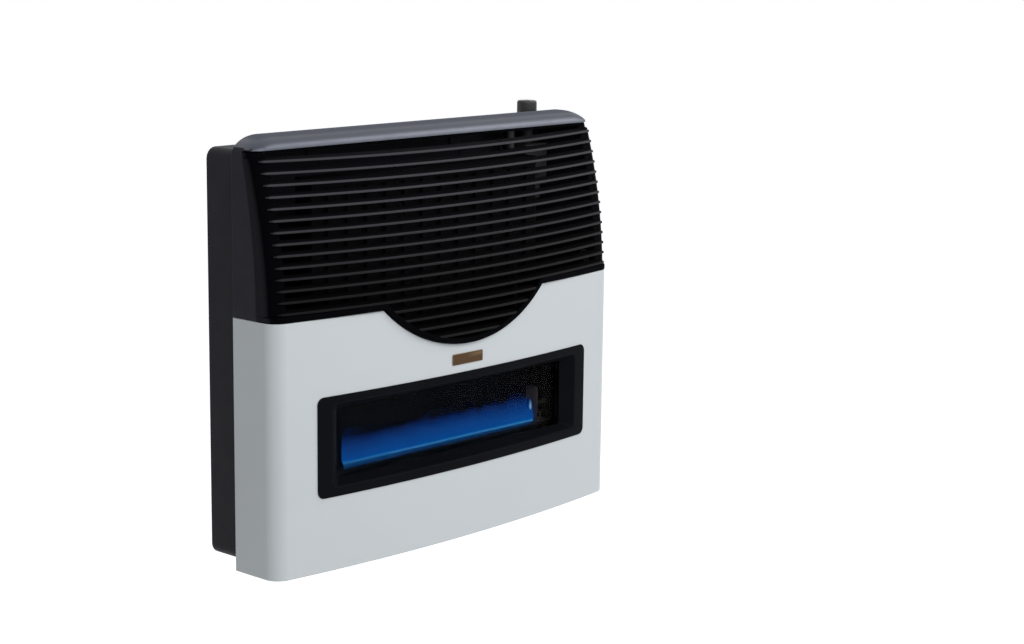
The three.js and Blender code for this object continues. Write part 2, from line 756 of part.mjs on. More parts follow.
function lowerFrontPanel() {
  const { halfWidth, back, cornerRadius } = cover;
  const outer = frontOutline(panelDepth, panelBow, halfWidth, cornerRadius, back);
  const inset = (t) => frontOutline(panelDepth - t, panelBow, halfWidth - t, cornerRadius - t, back);
  const wall = upward(polygon([...outer, ...inset(sheet).reverse()]), 0, junctionHeight - gap);
  const foot = upward(polygon([...outer, ...inset(14).reverse()]), 0, sheet);
  const tabs = [-1, 1].map((side) => {
    const edges = [side * 318, side * (halfWidth - 1)].sort((a, b) => a - b);
    return block(edges[0], edges[1], coverScrewAt.depth - 9, coverScrewAt.depth + 9, 0, sheet);
  });
  const { halfWidth: windowHalf, low, high, radius } = panelWindow;
  const window = outward(roundedBox(-windowHalf, low, windowHalf, high, radius), 100, 220);
  const dip = outward(circle(0, dipCentre, dipRadius, 96), 100, 220);
  const screwHoles = [-1, 1].map((side) => (
    disc(2.6, -5, 5, 'up', side * coverScrewAt.x, coverScrewAt.depth, 0, 14)
  ));
  const sides = backFlange(0, junctionHeight - gap);
  return cut(join(wall, foot, sides, ...tabs), window, dip, ...screwHoles);
}

// Shoulder screw from the panel's foot into the casing's floor.
function coverScrew(x) {
  const profile = [[0, -2.4], [3.4, -2.4], [4, -0.3], [2.2, -0.3], [2.2, 9.7], [0, 9.7]];
  return turned(profile, 'up', x, coverScrewAt.depth, 0, 16);
}

function windowBezel() {
  const { halfWidth, low, high, radius, stands, back } = bezel;
  const { halfWidth: holeHalf, low: holeLow, high: holeHigh, radius: holeRadius } = panelWindow;
  const face = frontOutline(panelDepth + stands, panelBow, cover.halfWidth, 22, 100);
  const panelFront = frontOutline(panelDepth + gap, panelBow, cover.halfWidth - 2, 20, 100);
  const proudBand = upward(polygon([...face, ...panelFront.slice().reverse()]), 50, 300);
  const flange = outward(roundedBox(-halfWidth, low, halfWidth, high, radius), 120, 220).intersect(proudBand);
  const room = 0.5;
  const plug = roundedBox(
    -holeHalf + room, holeLow + room, holeHalf - room, holeHigh - room, holeRadius - room,
  );
  const body = outward(plug, back, 220).intersect(upward(polygon(face), 50, 300));
  const corners = [];
  [[240, 131, 231, back - 1], [262, 124, 239, 190]].forEach(([half, z0, z1, depth]) => {
    [-half, half].forEach((x) => {
      corners.push(new THREE.Vector3(x, -depth, z0), new THREE.Vector3(x, -depth, z1));
    });
  });
  return cut(join(flange, body), solid(new ConvexGeometry(corners)));
}

function badgePlate() {
  const low = panelDepth + gap;
  return outward(roundedBox(-24.5, 268.8, 24.5, 281.8, 1.5, 3), low, low + 1.2);
}

// The outline of the upper shell seen from the side, as (depth, height).
function seamAt(z) {
  const rise = Math.max(0, z - junctionHeight);
  return seamDepth - (seamRadius - Math.sqrt(seamRadius ** 2 - rise ** 2));
}

function capCurve(shrink) {
  const points = [];
  const steps = 8;
  for (let i = 0; i <= steps; i += 1) {
    const angle = (Math.PI / 2) * (1 - i / steps);
    points.push([
      capFlat + (capFront - shrink - capFlat) * Math.cos(angle),
      capLip + (cover.height - shrink - capLip) * Math.sin(angle),
    ]);
  }
  return points;
}

// The cover seen from the front, with its rounded top corners, set in by t.
function arch(t, low) {
  const { halfWidth, height } = cover;
  const { across, down } = capEnd;
  const corner = [];
  const steps = 10;
  for (let i = 0; i <= steps; i += 1) {
    const angle = (Math.PI / 2) * (i / steps);
    corner.push([
      halfWidth - across + (across - t) * Math.cos(angle),
      height - down + (down - t) * Math.sin(angle),
    ]);
  }
  const mirrored = corner.slice().reverse().map(([x, z]) => [-x, z]);
  return polygon([[-halfWidth + t, low], [halfWidth - t, low], ...corner, ...mirrored]);
}

// All the room under the cap's lip and, over it, the cap seen from above with its rounded front corners.
function capPlan(t) {
  const outline = frontOutline(capFront - t, 0, cover.halfWidth - t, capEnd.plan - t, 10, 4, 8);
  const over = upward(polygon(outline), capLip - 1, 700);
  return join(over, block(-400, 400, 0, 300, 0, capLip - 0.6));
}

function upperShell() {
  const { height, back } = cover;
  const low = junctionHeight;
  const edge = [];
  const steps = 14;
  for (let i = 0; i <= steps; i += 1) {
    const z = capLip - ((capLip - low) * i) / steps;
    edge.push([seamAt(z), z]);
  }
  const side = polygon([[back, low], [back, height], ...capCurve(0), ...edge]);
  const outer = outward(arch(0, low - 40), back, 130).intersect(alongX(side, -400, 400));
  const hollow = polygon([
    [20, 300], [20, height - sheet], ...capCurve(sheet), [200, capLip - 0.01], [200, 300],
  ]);
  const inner = outward(arch(sheet, low - 40), 20, 200).intersect(alongX(hollow, -400, 400));
  const shell = cut(outer.intersect(capPlan(0)), inner.intersect(capPlan(sheet)));
  return join(shell, backFlange(low, height - 0.7));
}

function grille() {
  const { halfWidth } = cover;
  const outline = (forward, t, radius) => (
    frontOutline(grilleDepth + forward, grilleBow, halfWidth - t, radius, 60, 12, 3)
  );
  const leanSteps = 7;
  const inside = outline(-grilleWall, 2.5, grilleCorner - 2.5);
  const low = dipLow - 5;
  const recessed = leaningBand(outline(-uprightRecess, 0, grilleCorner), inside, low, grilleTop, leanSteps);
  const full = leaningBand(outline(0, 0, grilleCorner), inside, low, junctionHeight + rimWidth + gap, 3);
  const region = outward(grilleRegion(400, junctionHeight, dipRadius - 0.4, grilleTop + 10), 0, 250);
  const openLow = junctionHeight + rimWidth;
  const opening = grilleRegion(halfWidth - uprightWidth, openLow, dipRadius - 0.4 - rimWidth, grilleTop + 20);
  const corners = outward(arch(-gap, 0), 0, 250);
  const stepFront = frontOutline(grilleDepth + 30, grilleBow, halfWidth + 20, grilleCorner + 20, 60, 12, 3);
  const stepBack = outline(-uprightRecess - uprightStep, 0, grilleCorner);
  const overTopBlade = leaningBand(stepFront, stepBack, bladeTop + 4, grilleTop + 5, 2);
  const band = join(recessed, full).intersect(region).intersect(corners);
  const skin = cut(band, outward(opening, casing.front, 250), overTopBlade);

  // the straight strip that ties the uprights together, hidden under the cap's lip
  const tieEnd = halfWidth - uprightWidth + 2;
  const tie = block(-tieEnd, tieEnd, capFront - 8.5, capFront - 0.5, grilleTop - 3, grilleTop - 0.5);

  // blades
  const blades = [];
  for (let i = 0; i < bladeCount; i += 1) {
    const z = bladeTop - bladePitch * i;
    const chord = Math.sqrt(Math.max(0, (dipRadius - rimWidth / 2) ** 2 - (dipCentre - z) ** 2));
    const end = z > junctionHeight ? bladeEnd : chord;
    blades.push(blade(z, end));
  }

  // upright ribs that tie the blades together from behind
  const ribs = [-115, 115].map((x) => {
    const thin = [[x - 1, 0], [x + 1, 0]];
    const depthAt = (offset) => -(grilleDepth - offset - grilleBow * (x / halfWidth) ** 2);
    const front = thin.map(([px]) => [px, depthAt(9)]);
    const rear = thin.map(([px]) => [px, depthAt(grilleWall)]);
    return leaningBand(front, rear, junctionHeight - 30, bladeTop + 3.5, leanSteps);
  });

  // the gables of the upper shell take the room behind the seam
  const seam = [];
  const seamSteps = 14;
  for (let i = 0; i <= seamSteps; i += 1) {
    const z = junctionHeight - 5 + ((grilleTop + 10 - junctionHeight) * i) / seamSteps;
    seam.push([seamAt(z) + gap, z]);
  }
  const behind = alongX(polygon([...seam, [0, grilleTop + 10], [0, junctionHeight - 5]]), -400, 400);
  return cut(join(skin, tie, ...blades, ...ribs), cut(behind, block(-350, 350, 0, 250, 0, 700)));
}

// One louvre blade: a thin bowed strip that rises towards the wall.
function blade(z, end) {
  const depth = grilleDepth - lean(z);
  const outer = frontOutline(depth, grilleBow, cover.halfWidth, grilleCorner, 60, 12, 3);
  const inner = frontOutline(depth - grilleWall, grilleBow, cover.halfWidth - 8, grilleCorner - 8, 60, 12, 3);
  const shape = polygon([...outer, ...inner.slice().reverse()]);
  const strip = extruded(shape, bladeHeight);
  strip.translate(0, 0, z - bladeHeight / 2);
  const place = strip.attributes.position;
  for (let i = 0; i < place.count; i += 1) {
    const x = place.getX(i);
    const surface = depth - grilleBow * (x / cover.halfWidth) ** 2;
    const behind = Math.min(grilleWall, Math.max(0, surface + place.getY(i)));
    place.setZ(i, place.getZ(i) + bladeRise * behind);
  }
  const frontOnly = block(-end, end, depth - grilleBow - grilleCorner - 4, 300, z - 10, z + 20);
  return solid(strip).intersect(frontOnly);
}

// Plate inside the cover that ties a gable to the side of the lower panel.
function sideJoiner(side) {
  const outer = cover.halfWidth - sheet - gap;
  const edges = [side * outer, side * (outer - 1.5)].sort((a, b) => a - b);
  return block(edges[0], edges[1], 72, 112, junctionHeight - 30, junctionHeight + 26);
}

// Bracket on the casing's roof that the upper shell hangs on.
function coverHook(x) {
  const low = casing.top + gap;
  const high = cover.height - sheet - gap;
  const back = cover.back + sheet + gap;
  const front = capFlat - gap;
  return join(
    block(x - 10, x + 10, back, front, low, low + sheet),
    block(x - 10, x - 10 + sheet, back, front, low, high),
    block(x - 10, x + 10, back, front, high - sheet, high),
  );
}

// ---------------------------------------------------------------- materials and assembly

const finishes = {
  black_paint: new THREE.MeshStandardMaterial({ color: 0x1b1b1f, roughness: 0.5, metalness: 0.1 }),
  gloss_black: new THREE.MeshStandardMaterial({ color: 0x0c0d11, roughness: 0.25, metalness: 0.1 }),
  pale_paint: new THREE.MeshStandardMaterial({ color: 0xc6cccd, roughness: 0.4, metalness: 0.05 }),
  steel: new THREE.MeshStandardMaterial({ color: 0x8f9296, roughness: 0.4, metalness: 0.9 }),
  dark_steel: new THREE.MeshStandardMaterial({ color: 0x3a3b3e, roughness: 0.6, metalness: 0.7 }),
  aluminium: new THREE.MeshStandardMaterial({ color: 0xa9acb0, roughness: 0.5, metalness: 0.8 }),
  brass: new THREE.MeshStandardMaterial({ color: 0xa88642, roughness: 0.35, metalness: 0.9 }),
  bronze: new THREE.MeshStandardMaterial({ color: 0x5d4a32, roughness: 0.35, metalness: 0.8 }),
  black_plastic: new THREE.MeshStandardMaterial({ color: 0x101114, roughness: 0.45, metalness: 0 }),
  rubber: new THREE.MeshStandardMaterial({ color: 0x1c1c1c, roughness: 0.9, metalness: 0 }),
  ceramic: new THREE.MeshStandardMaterial({ color: 0xe6e1d6, roughness: 0.5, metalness: 0 }),
  fibre: new THREE.MeshStandardMaterial({ color: 0xb9b4a6, roughness: 0.95, metalness: 0 }),
  glass: new THREE.MeshStandardMaterial({
    color: 0x20242a, roughness: 0.05, metalness: 0, transparent: true, opacity: 0.4,
  }),
};

const heater = new THREE.Group();
heater.position.z = -railHeight;

function add(name, finish, body) {
  const { vertProperties, triVerts } = body.getMesh();
  const geometry = new THREE.BufferGeometry();
  geometry.setAttribute('position', new THREE.BufferAttribute(vertProperties, 3));
  geometry.setIndex(new THREE.BufferAttribute(triVerts, 1));
  geometry.computeVertexNormals();
  const mesh = new THREE.Mesh(geometry, finishes[finish]);
  mesh.name = name;
  heater.add(mesh);
}

add('wall_rail', 'steel', wallRail());
[['left', -spacer.x], ['right', spacer.x]].forEach(([side, x]) => {
  const body = disc(spacer.radius, 0, railThickness, 'out', x, 0, spacer.height, 20);
  add(`lower_spacer_${side}`, 'rubber', body);
});
add('rear_casing', 'black_paint', rearCasing());
[['left', -190], ['right', 190]].forEach(([side, x]) => {
  add(`chamber_support_${side}`, 'steel', chamberSupport(x));
});

add('air_inlet_collar', 'steel', airInletCollar());
add('flue_outlet_pipe', 'steel', flueOutletPipe());
add('air_duct', 'steel', airDuct());
add('heat_exchanger', 'dark_steel', heatExchanger());
add('exchanger_baffle', 'dark_steel', exchangerBaffle());

add('combustion_chamber', 'dark_steel', combustionChamber());
add('chamber_gasket', 'fibre', chamberGasket());
add('chamber_front_plate', 'dark_steel', chamberFrontPlate());
add('glass_gasket', 'fibre', glassGasket());
add('window_glass', 'glass', windowGlass());
add('glass_retainer', 'dark_steel', glassRetainer());
[-1, 1].forEach((side, column) => {
  [retainer.low + retainer.screwInset, retainer.high - retainer.screwInset].forEach((z, row) => {
    add(`retainer_screw_${column * 2 + row + 1}`, 'steel', retainerScrew(side * retainer.screwX, z));
  });
});

add('burner_tube', 'steel', burnerTube());
[['left', -170], ['right', 170]].forEach(([side, x]) => {
  add(`burner_bracket_${side}`, 'dark_steel', burnerBracket(x));
});
add('injector_nozzle', 'brass', injectorNozzle());
add('injector_holder', 'aluminium', injectorHolder());
add('pilot_bracket', 'steel', pilotBracket());
add('pilot_hood', 'steel', pilotHood());
add('electrode_insulator', 'ceramic', electrodeInsulator());
add('spark_electrode', 'steel', sparkElectrode());

add('gas_valve_body', 'aluminium', gasValveBody());
add('valve_bracket', 'steel', valveBracket());
add('gas_inlet_pipe', 'aluminium', gasInletPipe());
add('gas_inlet_fitting', 'brass', gasInletFitting());
add('inlet_locknut', 'brass', inletLocknut());
add('burner_feed_pipe', 'aluminium', burnerFeedPipe());
add('pilot_tube', 'aluminium', pilotTube());
add('thermocouple', 'brass', thermocouple());
add('ignition_lead', 'rubber', ignitionLead());
add('thermostat_bulb', 'brass', thermostatBulb());
add('thermostat_capillary', 'brass', thermostatCapillary());
add('bulb_clip', 'steel', bulbClip());

add('control_bezel', 'black_plastic', controlBezel());
add('valve_spindle', 'steel', valveSpindle());
add('control_knob', 'black_plastic', controlKnob());
add('igniter_body', 'black_plastic', igniterBody());
add('igniter_nut', 'steel', igniterNut());
add('igniter_button', 'black_plastic', igniterButton());

add('lower_front_panel', 'pale_paint', lowerFrontPanel());
add('window_bezel', 'black_plastic', windowBezel());
add('badge_plate', 'bronze', badgePlate());
add('upper_shell', 'gloss_black', upperShell());
add('grille', 'gloss_black', grille());
[['left', -1], ['right', 1]].forEach(([side, sign]) => {
  add(`side_joiner_${side}`, 'steel', sideJoiner(sign));
  add(`cover_hook_${side}`, 'steel', coverHook(sign * 200));
  add(`cover_screw_${side}`, 'steel', coverScrew(sign * coverScrewAt.x));
});

export default heater;
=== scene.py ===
import json
import math
import random

import bmesh
import bpy
from mathutils import Matrix, Vector
from mathutils.geometry import tessellate_polygon


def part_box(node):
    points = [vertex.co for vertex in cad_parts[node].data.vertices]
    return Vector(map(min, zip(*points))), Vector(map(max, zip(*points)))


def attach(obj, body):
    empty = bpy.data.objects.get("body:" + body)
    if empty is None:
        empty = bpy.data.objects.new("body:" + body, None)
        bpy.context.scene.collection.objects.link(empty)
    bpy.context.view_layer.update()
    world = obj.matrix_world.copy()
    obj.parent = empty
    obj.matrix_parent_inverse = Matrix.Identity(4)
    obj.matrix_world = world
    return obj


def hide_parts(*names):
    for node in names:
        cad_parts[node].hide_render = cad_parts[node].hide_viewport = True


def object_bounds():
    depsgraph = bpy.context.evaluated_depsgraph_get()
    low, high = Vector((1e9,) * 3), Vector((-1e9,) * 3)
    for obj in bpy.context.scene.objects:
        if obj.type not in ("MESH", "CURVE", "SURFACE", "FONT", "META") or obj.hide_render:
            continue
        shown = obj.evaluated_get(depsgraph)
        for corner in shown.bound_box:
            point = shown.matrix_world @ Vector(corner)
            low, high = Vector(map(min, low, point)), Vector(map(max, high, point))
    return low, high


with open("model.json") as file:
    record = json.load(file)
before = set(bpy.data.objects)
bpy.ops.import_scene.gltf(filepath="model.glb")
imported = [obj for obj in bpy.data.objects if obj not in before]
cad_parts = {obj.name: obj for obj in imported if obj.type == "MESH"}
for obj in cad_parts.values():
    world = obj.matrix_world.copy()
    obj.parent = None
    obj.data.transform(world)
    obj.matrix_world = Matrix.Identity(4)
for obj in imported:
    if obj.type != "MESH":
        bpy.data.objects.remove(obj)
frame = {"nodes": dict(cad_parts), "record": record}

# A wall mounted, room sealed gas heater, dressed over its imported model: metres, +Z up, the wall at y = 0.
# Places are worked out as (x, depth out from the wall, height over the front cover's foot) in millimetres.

cad_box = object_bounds()
random.seed(7)

# ---------------- sizes, in millimetres

MM = 0.001
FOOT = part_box("lower_front_panel")[0].z


def span(node):
    """A node's box as x, depth and height ranges in millimetres."""
    low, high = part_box(node)
    return (
        (low.x / MM, high.x / MM),
        (-high.y / MM, -low.y / MM),
        ((low.z - FOOT) / MM, (high.z - FOOT) / MM),
    )


(_, PANEL_X), (PANEL_BACK, PANEL_FRONT), (_, JUNCTION) = span("lower_front_panel")
SHELL_TOP = span("upper_shell")[2][1]
(_, GRILLE_FRONT), (_, GRILLE_TOP) = span("grille")[1:]
(_, BEZEL_X), _, (BEZEL_LOW, BEZEL_HIGH) = span("window_bezel")
(_, CASING_X), (CASING_BACK, _), (_, CASING_TOP) = span("rear_casing")

# clearances and sheet
GAP = 0.3
SHEET = 1.5

# the bowed fronts in plan: how far their ends stand back, and the radius of their corners
PANEL_BOW = 26
PANEL_CORNER = 22
GRILLE_BOW = 33
GRILLE_CORNER = 20

# the opening for the window, and the round dip in the panel's upper edge
WINDOW_X = 281
WINDOW_LOW = 114
WINDOW_HIGH = 249
WINDOW_CORNER = 8
DIP_RADIUS = 241.2
DIP_CENTRE = 539.6

# from the side: the grille's lean towards the wall, and the seam between the grille and the gables
LEAN_START = 340
LEAN_RADIUS = 840
SEAM_DEPTH = 117.5
SEAM_RADIUS = 965

# the cap: front edge, depth where its round starts, lip, and its round ends across, down and in plan
CAP_FRONT = 112
CAP_FLAT = 80
CAP_LIP = 601
CAP_ACROSS = 46
CAP_DOWN = 28
CAP_PLAN = 27

# the grille: its blades, the uprights at their ends, and the rim along the panel
BLADES = 18
BLADE_TOP = 587.5
BLADE_PITCH = 16
BLADE_RISE = 0.3
BLADE_DEPTH = 14
BLADE_NOSE = 2.1
BLADE_TAIL = 1.1
BLADE_SAG = 3.2
UPRIGHT = 24
UPRIGHT_RECESS = 4.5
UPRIGHT_STEP = 4
UPRIGHT_KNEE = BLADE_TOP + 3.5
RIM = 9

# ---------------- objects and shader nodes

FINISHES = {}


def added(name, data):
    """A new object, put in the scene."""
    obj = bpy.data.objects.new(name, data)
    bpy.context.scene.collection.objects.link(obj)
    return obj


def new_material(name):
    """The tree and the shader of a new finish, which is kept under its name."""
    FINISHES[name] = bpy.data.materials.new(name)
    FINISHES[name].use_nodes = True
    tree = FINISHES[name].node_tree
    return tree, tree.nodes["Principled BSDF"]


def maths(tree, operation, *values):
    """A sum, product or the like of sockets and numbers."""
    node = tree.nodes.new("ShaderNodeMath")
    node.operation = operation
    for socket, value in zip(node.inputs, values):
        if isinstance(value, float):
            socket.default_value = value
        else:
            tree.links.new(value, socket)
    return node.outputs[0]


# ---------------- camera

# solved from the photograph: metres, radians, and the focal length in the picture's pixels
CAMERA_PLACE = (-2.24819, -2.30571, 0.33996)
CAMERA_YAW = 0.8344
CAMERA_PITCH = 0.1838
CAMERA_ROLL = -0.0120
IMAGE_WIDTH = 1024
FOCAL_PIXELS = 2121.23
SENSOR = 36.0
CLIP_END = 100


def make_camera():
    data = bpy.data.cameras.new("camera")
    data.sensor_width = SENSOR
    data.lens = FOCAL_PIXELS / IMAGE_WIDTH * SENSOR
    data.clip_end = CLIP_END
    cam = added("camera", data)
    level = math.cos(CAMERA_PITCH)
    forward = Vector(
        (math.sin(CAMERA_YAW) * level, math.cos(CAMERA_YAW) * level, -math.sin(CAMERA_PITCH))
    )
    right = Vector((math.cos(CAMERA_YAW), -math.sin(CAMERA_YAW), 0))
    down = forward.cross(right)
    across = right * math.cos(CAMERA_ROLL) + down * math.sin(CAMERA_ROLL)
    below = down * math.cos(CAMERA_ROLL) - right * math.sin(CAMERA_ROLL)
    turn = Matrix((across, -below, -forward)).transposed()
    cam.matrix_world = Matrix.Translation(CAMERA_PLACE) @ turn.to_4x4()
    bpy.context.scene.camera = cam


make_camera()

# ---------------- light, floor and background

AIM = Vector((0, -0.1, 0))
WHITE = (1, 1, 1, 1)
FILL_COLOUR = (0.93, 0.96, 1.0, 1)
FLOOR_COLOUR = (0.93, 0.93, 0.93, 1)


def area_light(name, spot, size, power):
    """A square light that looks at the heater's middle."""
    data = bpy.data.lights.new(name, "AREA")
    data.size = size
    data.energy = power
    light = added(name, data)
    light.location = spot
    light.rotation_euler = (AIM - Vector(spot)).to_track_quat("-Z", "Y").to_euler()


def seen_directly(tree):
    """One for a camera, glossy or transmission ray, nothing for the rest."""
    path = tree.nodes.new("ShaderNodeLightPath")
    first = maths(tree, "MAXIMUM", path.outputs["Is Camera Ray"], path.outputs["Is Glossy Ray"])
    return maths(tree, "MAXIMUM", first, path.outputs["Is Transmission Ray"])


def make_world(fill):
    """Weak light from all round, behind a background that is seen as white."""
    world = bpy.data.worlds.new("studio")
    bpy.context.scene.world = world
    world.use_nodes = True
    tree = world.node_tree
    tree.nodes.clear()
    mix = tree.nodes.new("ShaderNodeMixShader")
    out = tree.nodes.new("ShaderNodeOutputWorld")
    tree.links.new(seen_directly(tree), mix.inputs["Fac"])
    for socket, colour, strength in ((mix.inputs[1], FILL_COLOUR, fill), (mix.inputs[2], WHITE, 1)):
        glow = tree.nodes.new("ShaderNodeBackground")
        glow.inputs["Color"].default_value = colour
        glow.inputs["Strength"].default_value = strength
        tree.links.new(glow.outputs[0], socket)
    tree.links.new(mix.outputs[0], out.inputs["Surface"])


def make_floor(drop, half, strength):
    """A plain pale floor, a step below the heater, which is up on its wall."""
    height = cad_box[0].z - drop
    mesh = bpy.data.meshes.new("floor")
    corners = [(x * half, y * half, height) for x, y in ((-1, -1), (1, -1), (1, 1), (-1, 1))]
    mesh.from_pydata(corners, [], [(0, 1, 2, 3)])
    floor = added("floor", mesh)
    tree, shader = new_material("floor_white")
    shader.inputs["Base Color"].default_value = FLOOR_COLOUR
    shader.inputs["Roughness"].default_value = 0.9
    shader.inputs["Specular IOR Level"].default_value = 0.1
    shader.inputs["Emission Color"].default_value = WHITE
    glow = maths(tree, "MULTIPLY", seen_directly(tree), strength)
    tree.links.new(glow, shader.inputs["Emission Strength"])
    mesh.materials.append(FINISHES["floor_white"])


make_world(fill=0.23)
make_floor(drop=0.4, half=14, strength=0.78)
area_light("key", (2.13, -1.66, 1.41), size=1.55, power=34)
area_light("front", (-0.32, -2.95, 1.45), size=2, power=44)
area_light("left", (-2.4, -2.5, 1.55), size=2, power=24)
bpy.context.scene.view_settings.view_transform = "Standard"

# ---------------- materials


def noise_of(tree, scale, detail=3.0, stretch=(1, 1, 1)):
    """Noise over a piece's own coordinates."""
    coordinates = tree.nodes.new("ShaderNodeTexCoord")
    mapping = tree.nodes.new("ShaderNodeMapping")
    mapping.inputs["Scale"].default_value = stretch
    texture = tree.nodes.new("ShaderNodeTexNoise")
    texture.inputs["Scale"].default_value = scale
    texture.inputs["Detail"].default_value = detail
    tree.links.new(coordinates.outputs["Object"], mapping.inputs["Vector"])
    tree.links.new(mapping.outputs["Vector"], texture.inputs["Vector"])
    return texture.outputs["Fac"]


def ranged(tree, value, low, high, start=0.3, stop=0.7):
    """A value that goes from low to high while the one given goes from start to stop."""
    node = tree.nodes.new("ShaderNodeMapRange")
    node.inputs["From Min"].default_value = start
    node.inputs["From Max"].default_value = stop
    node.inputs["To Min"].default_value = low
    node.inputs["To Max"].default_value = high
    tree.links.new(value, node.inputs["Value"])
    return node.outputs["Result"]


def blended(tree, share, first, second):
    """A colour between two, each a colour or a socket."""
    mix = tree.nodes.new("ShaderNodeMix")
    mix.data_type = "RGBA"
    tree.links.new(share, mix.inputs["Factor"])
    for key, value in (("A", first), ("B", second)):
        socket = next(s for s in mix.inputs if s.name == key and s.type == "RGBA")
        if isinstance(value, tuple):
            socket.default_value = (*value, 1)
        else:
            tree.links.new(value, socket)
    return next(s for s in mix.outputs if s.type == "RGBA")


def scaled(colour, share):
    return tuple(min(1, c * share) for c in colour)


def axis_of(tree, vector, axis):
    split = tree.nodes.new("ShaderNodeSeparateXYZ")
    tree.links.new(vector, split.inputs[0])
    return split.outputs[axis]


def height_of(tree):
    """The height of a place on a piece of the fixed body, in metres."""
    coordinates = tree.nodes.new("ShaderNodeTexCoord")
    return axis_of(tree, coordinates.outputs["Object"], "Z")


def along_axis(tree, axis):
    """How far a face looks along an axis, either way, from nothing to one."""
    geometry = tree.nodes.new("ShaderNodeNewGeometry")
    return maths(tree, "ABSOLUTE", axis_of(tree, geometry.outputs["Normal"], axis))


RELIEF_DEPTH = 0.0006


def surface(
    name, colour, rough, metal=0.0, specular=0.5, tone=0.08, tone_scale=14, grain=900, bump=0.06,
    stretch=(1, 1, 1), rough_span=0.06, edge=None, painted_light_facing=None, lying_rough=None, painted_shade_low=None, tint=None,
):
    """A finish with uneven tone, uneven gloss and a fine relief.

    Worn edges show the colour edge. The facing argument is painted light: an axis, a colour for the
    faces along it, lighter for the light those faces catch, and where that colour starts and is full.
    Lying_rough is the roughness of faces that lie flat. The fade argument is painted shade: two heights
    between which the colour comes up from the share in its third place, so it is darker towards the
    bottom. Tint colours the gloss.
    """
    tree, shader = new_material(name)
    tones = noise_of(tree, tone_scale, 4, stretch)
    colours = blended(tree, ranged(tree, tones, 0, 1), scaled(colour, 1 - tone), scaled(colour, 1 + tone))
    if edge:
        geometry = tree.nodes.new("ShaderNodeNewGeometry")
        worn = ranged(tree, geometry.outputs["Pointiness"], 0, 0.5, 0.53, 0.62)
        colours = blended(tree, worn, colours, edge)
    # painted light: faces turned along the axis take the lighter colour
    if painted_light_facing:
        axis, turned, start, full = painted_light_facing
        colours = blended(tree, ranged(tree, along_axis(tree, axis), 0, 1, start, full), colours, turned)
    # painted shade: the colour falls away below the upper height
    if painted_shade_low:
        low, high, share = painted_shade_low
        left = ranged(tree, height_of(tree), share, 1, FOOT + low * MM, FOOT + high * MM)
        colours = blended(tree, left, (0.0, 0.0, 0.0), colours)
    if tint:
        shader.inputs["Specular Tint"].default_value = (*tint, 1)
    tree.links.new(colours, shader.inputs["Base Color"])
    gloss = noise_of(tree, tone_scale * 2.3, 3, stretch)
    roughness = ranged(tree, gloss, rough - rough_span, rough + rough_span)
    if lying_rough:
        lying = ranged(tree, along_axis(tree, "Z"), 0, lying_rough - rough, 0.9, 0.995)
        roughness = maths(tree, "ADD", roughness, lying)
    tree.links.new(roughness, shader.inputs["Roughness"])
    shader.inputs["Metallic"].default_value = metal
    shader.inputs["Specular IOR Level"].default_value = specular
    relief = tree.nodes.new("ShaderNodeBump")
    relief.inputs["Strength"].default_value = bump
    relief.inputs["Distance"].default_value = RELIEF_DEPTH
    tree.links.new(noise_of(tree, grain, 2, stretch), relief.inputs["Height"])
    tree.links.new(relief.outputs["Normal"], shader.inputs["Normal"])


def glass_finish(name, darker, paler):
    """Clear, flat glass that dims what is behind it and hardly bends the light."""
    tree, shader = new_material(name)
    tint = ranged(tree, noise_of(tree, 6), 0, 1)
    tree.links.new(blended(tree, tint, darker, paler), shader.inputs["Base Color"])
    shader.inputs["Roughness"].default_value = 0
    shader.inputs["Transmission Weight"].default_value = 1
    shader.inputs["IOR"].default_value = 1.06


def flame_finish(name, low, high, base, tip, edge_start):
    """Light between two heights, from the colour at its foot to the colour where it has faded away."""
    tree, shader = new_material(name)
    height = ranged(tree, height_of(tree), 0, 1, low, high)
    flicker = ranged(tree, noise_of(tree, 60, 3, (1, 1, 0.35)), -0.08, 0.08)
    share = maths(tree, "ADD", height, flicker)
    tree.links.new(blended(tree, share, base, tip), shader.inputs["Emission Color"])
    shader.inputs["Emission Strength"].default_value = 1
    shader.inputs["Base Color"].default_value = (0, 0, 0, 1)
    shader.inputs["Specular IOR Level"].default_value = 0
    tree.links.new(ranged(tree, share, 1, 0, edge_start, 1), shader.inputs["Alpha"])


# painted sheet
PAINT_GREY = (0.03, 0.03, 0.034)
surface(
    "casing_black", (0.0165, 0.0160, 0.0215), 0.5, specular=0.07, tone=0.1, grain=1500, edge=PAINT_GREY,
)
surface(
    "cover_black", (0.021, 0.0198, 0.0265), 0.5, specular=0.07, grain=1200, bump=0.04,
    edge=(0.03, 0.03, 0.036),
)
# the cap's gloss is tinted blue and its colour is bluer than the gables': a painted tint for the bluish
# light it reflects
surface(
    "cap_black", (0.014, 0.016, 0.026), 0.4, specular=0.95, tone=0.05, grain=1200, bump=0.01,
    rough_span=0.02, lying_rough=0.9, tint=(0.80, 0.85, 1.0),
)
# the blades' fronts are coloured lighter than their tops, a painted light, and the blades are coloured
# darker towards the bottom, a painted shade
surface(
    "grille_black", (0.002, 0.002, 0.003), 0.4, specular=0.04, tone=0.1, grain=1400, bump=0.02,
    rough_span=0.03, lying_rough=1.0, painted_light_facing=("Y", (0.05, 0.05, 0.056), 0.55, 0.9), painted_shade_low=(390, 530, 0.12),
)
# the frame's faces turned to the sides are coloured lighter: a painted sheen
surface(
    "grille_frame_black", (0.0012, 0.0012, 0.0018), 0.6, specular=0.01, tone=0.1, grain=1400, bump=0.03,
    painted_light_facing=("X", (0.02, 0.02, 0.024), 0.86, 1),
)
surface(
    "panel_white", (0.568, 0.603, 0.622), 0.42, specular=0.35, tone=0.012, tone_scale=5, grain=1600,
    bump=0.05, rough_span=0.04,
)
surface(
    "bezel_black", (0.0038, 0.0041, 0.0056), 0.5, specular=0.02, tone=0.1, grain=1500, bump=0.05,
    edge=(0.009, 0.009, 0.011),
)

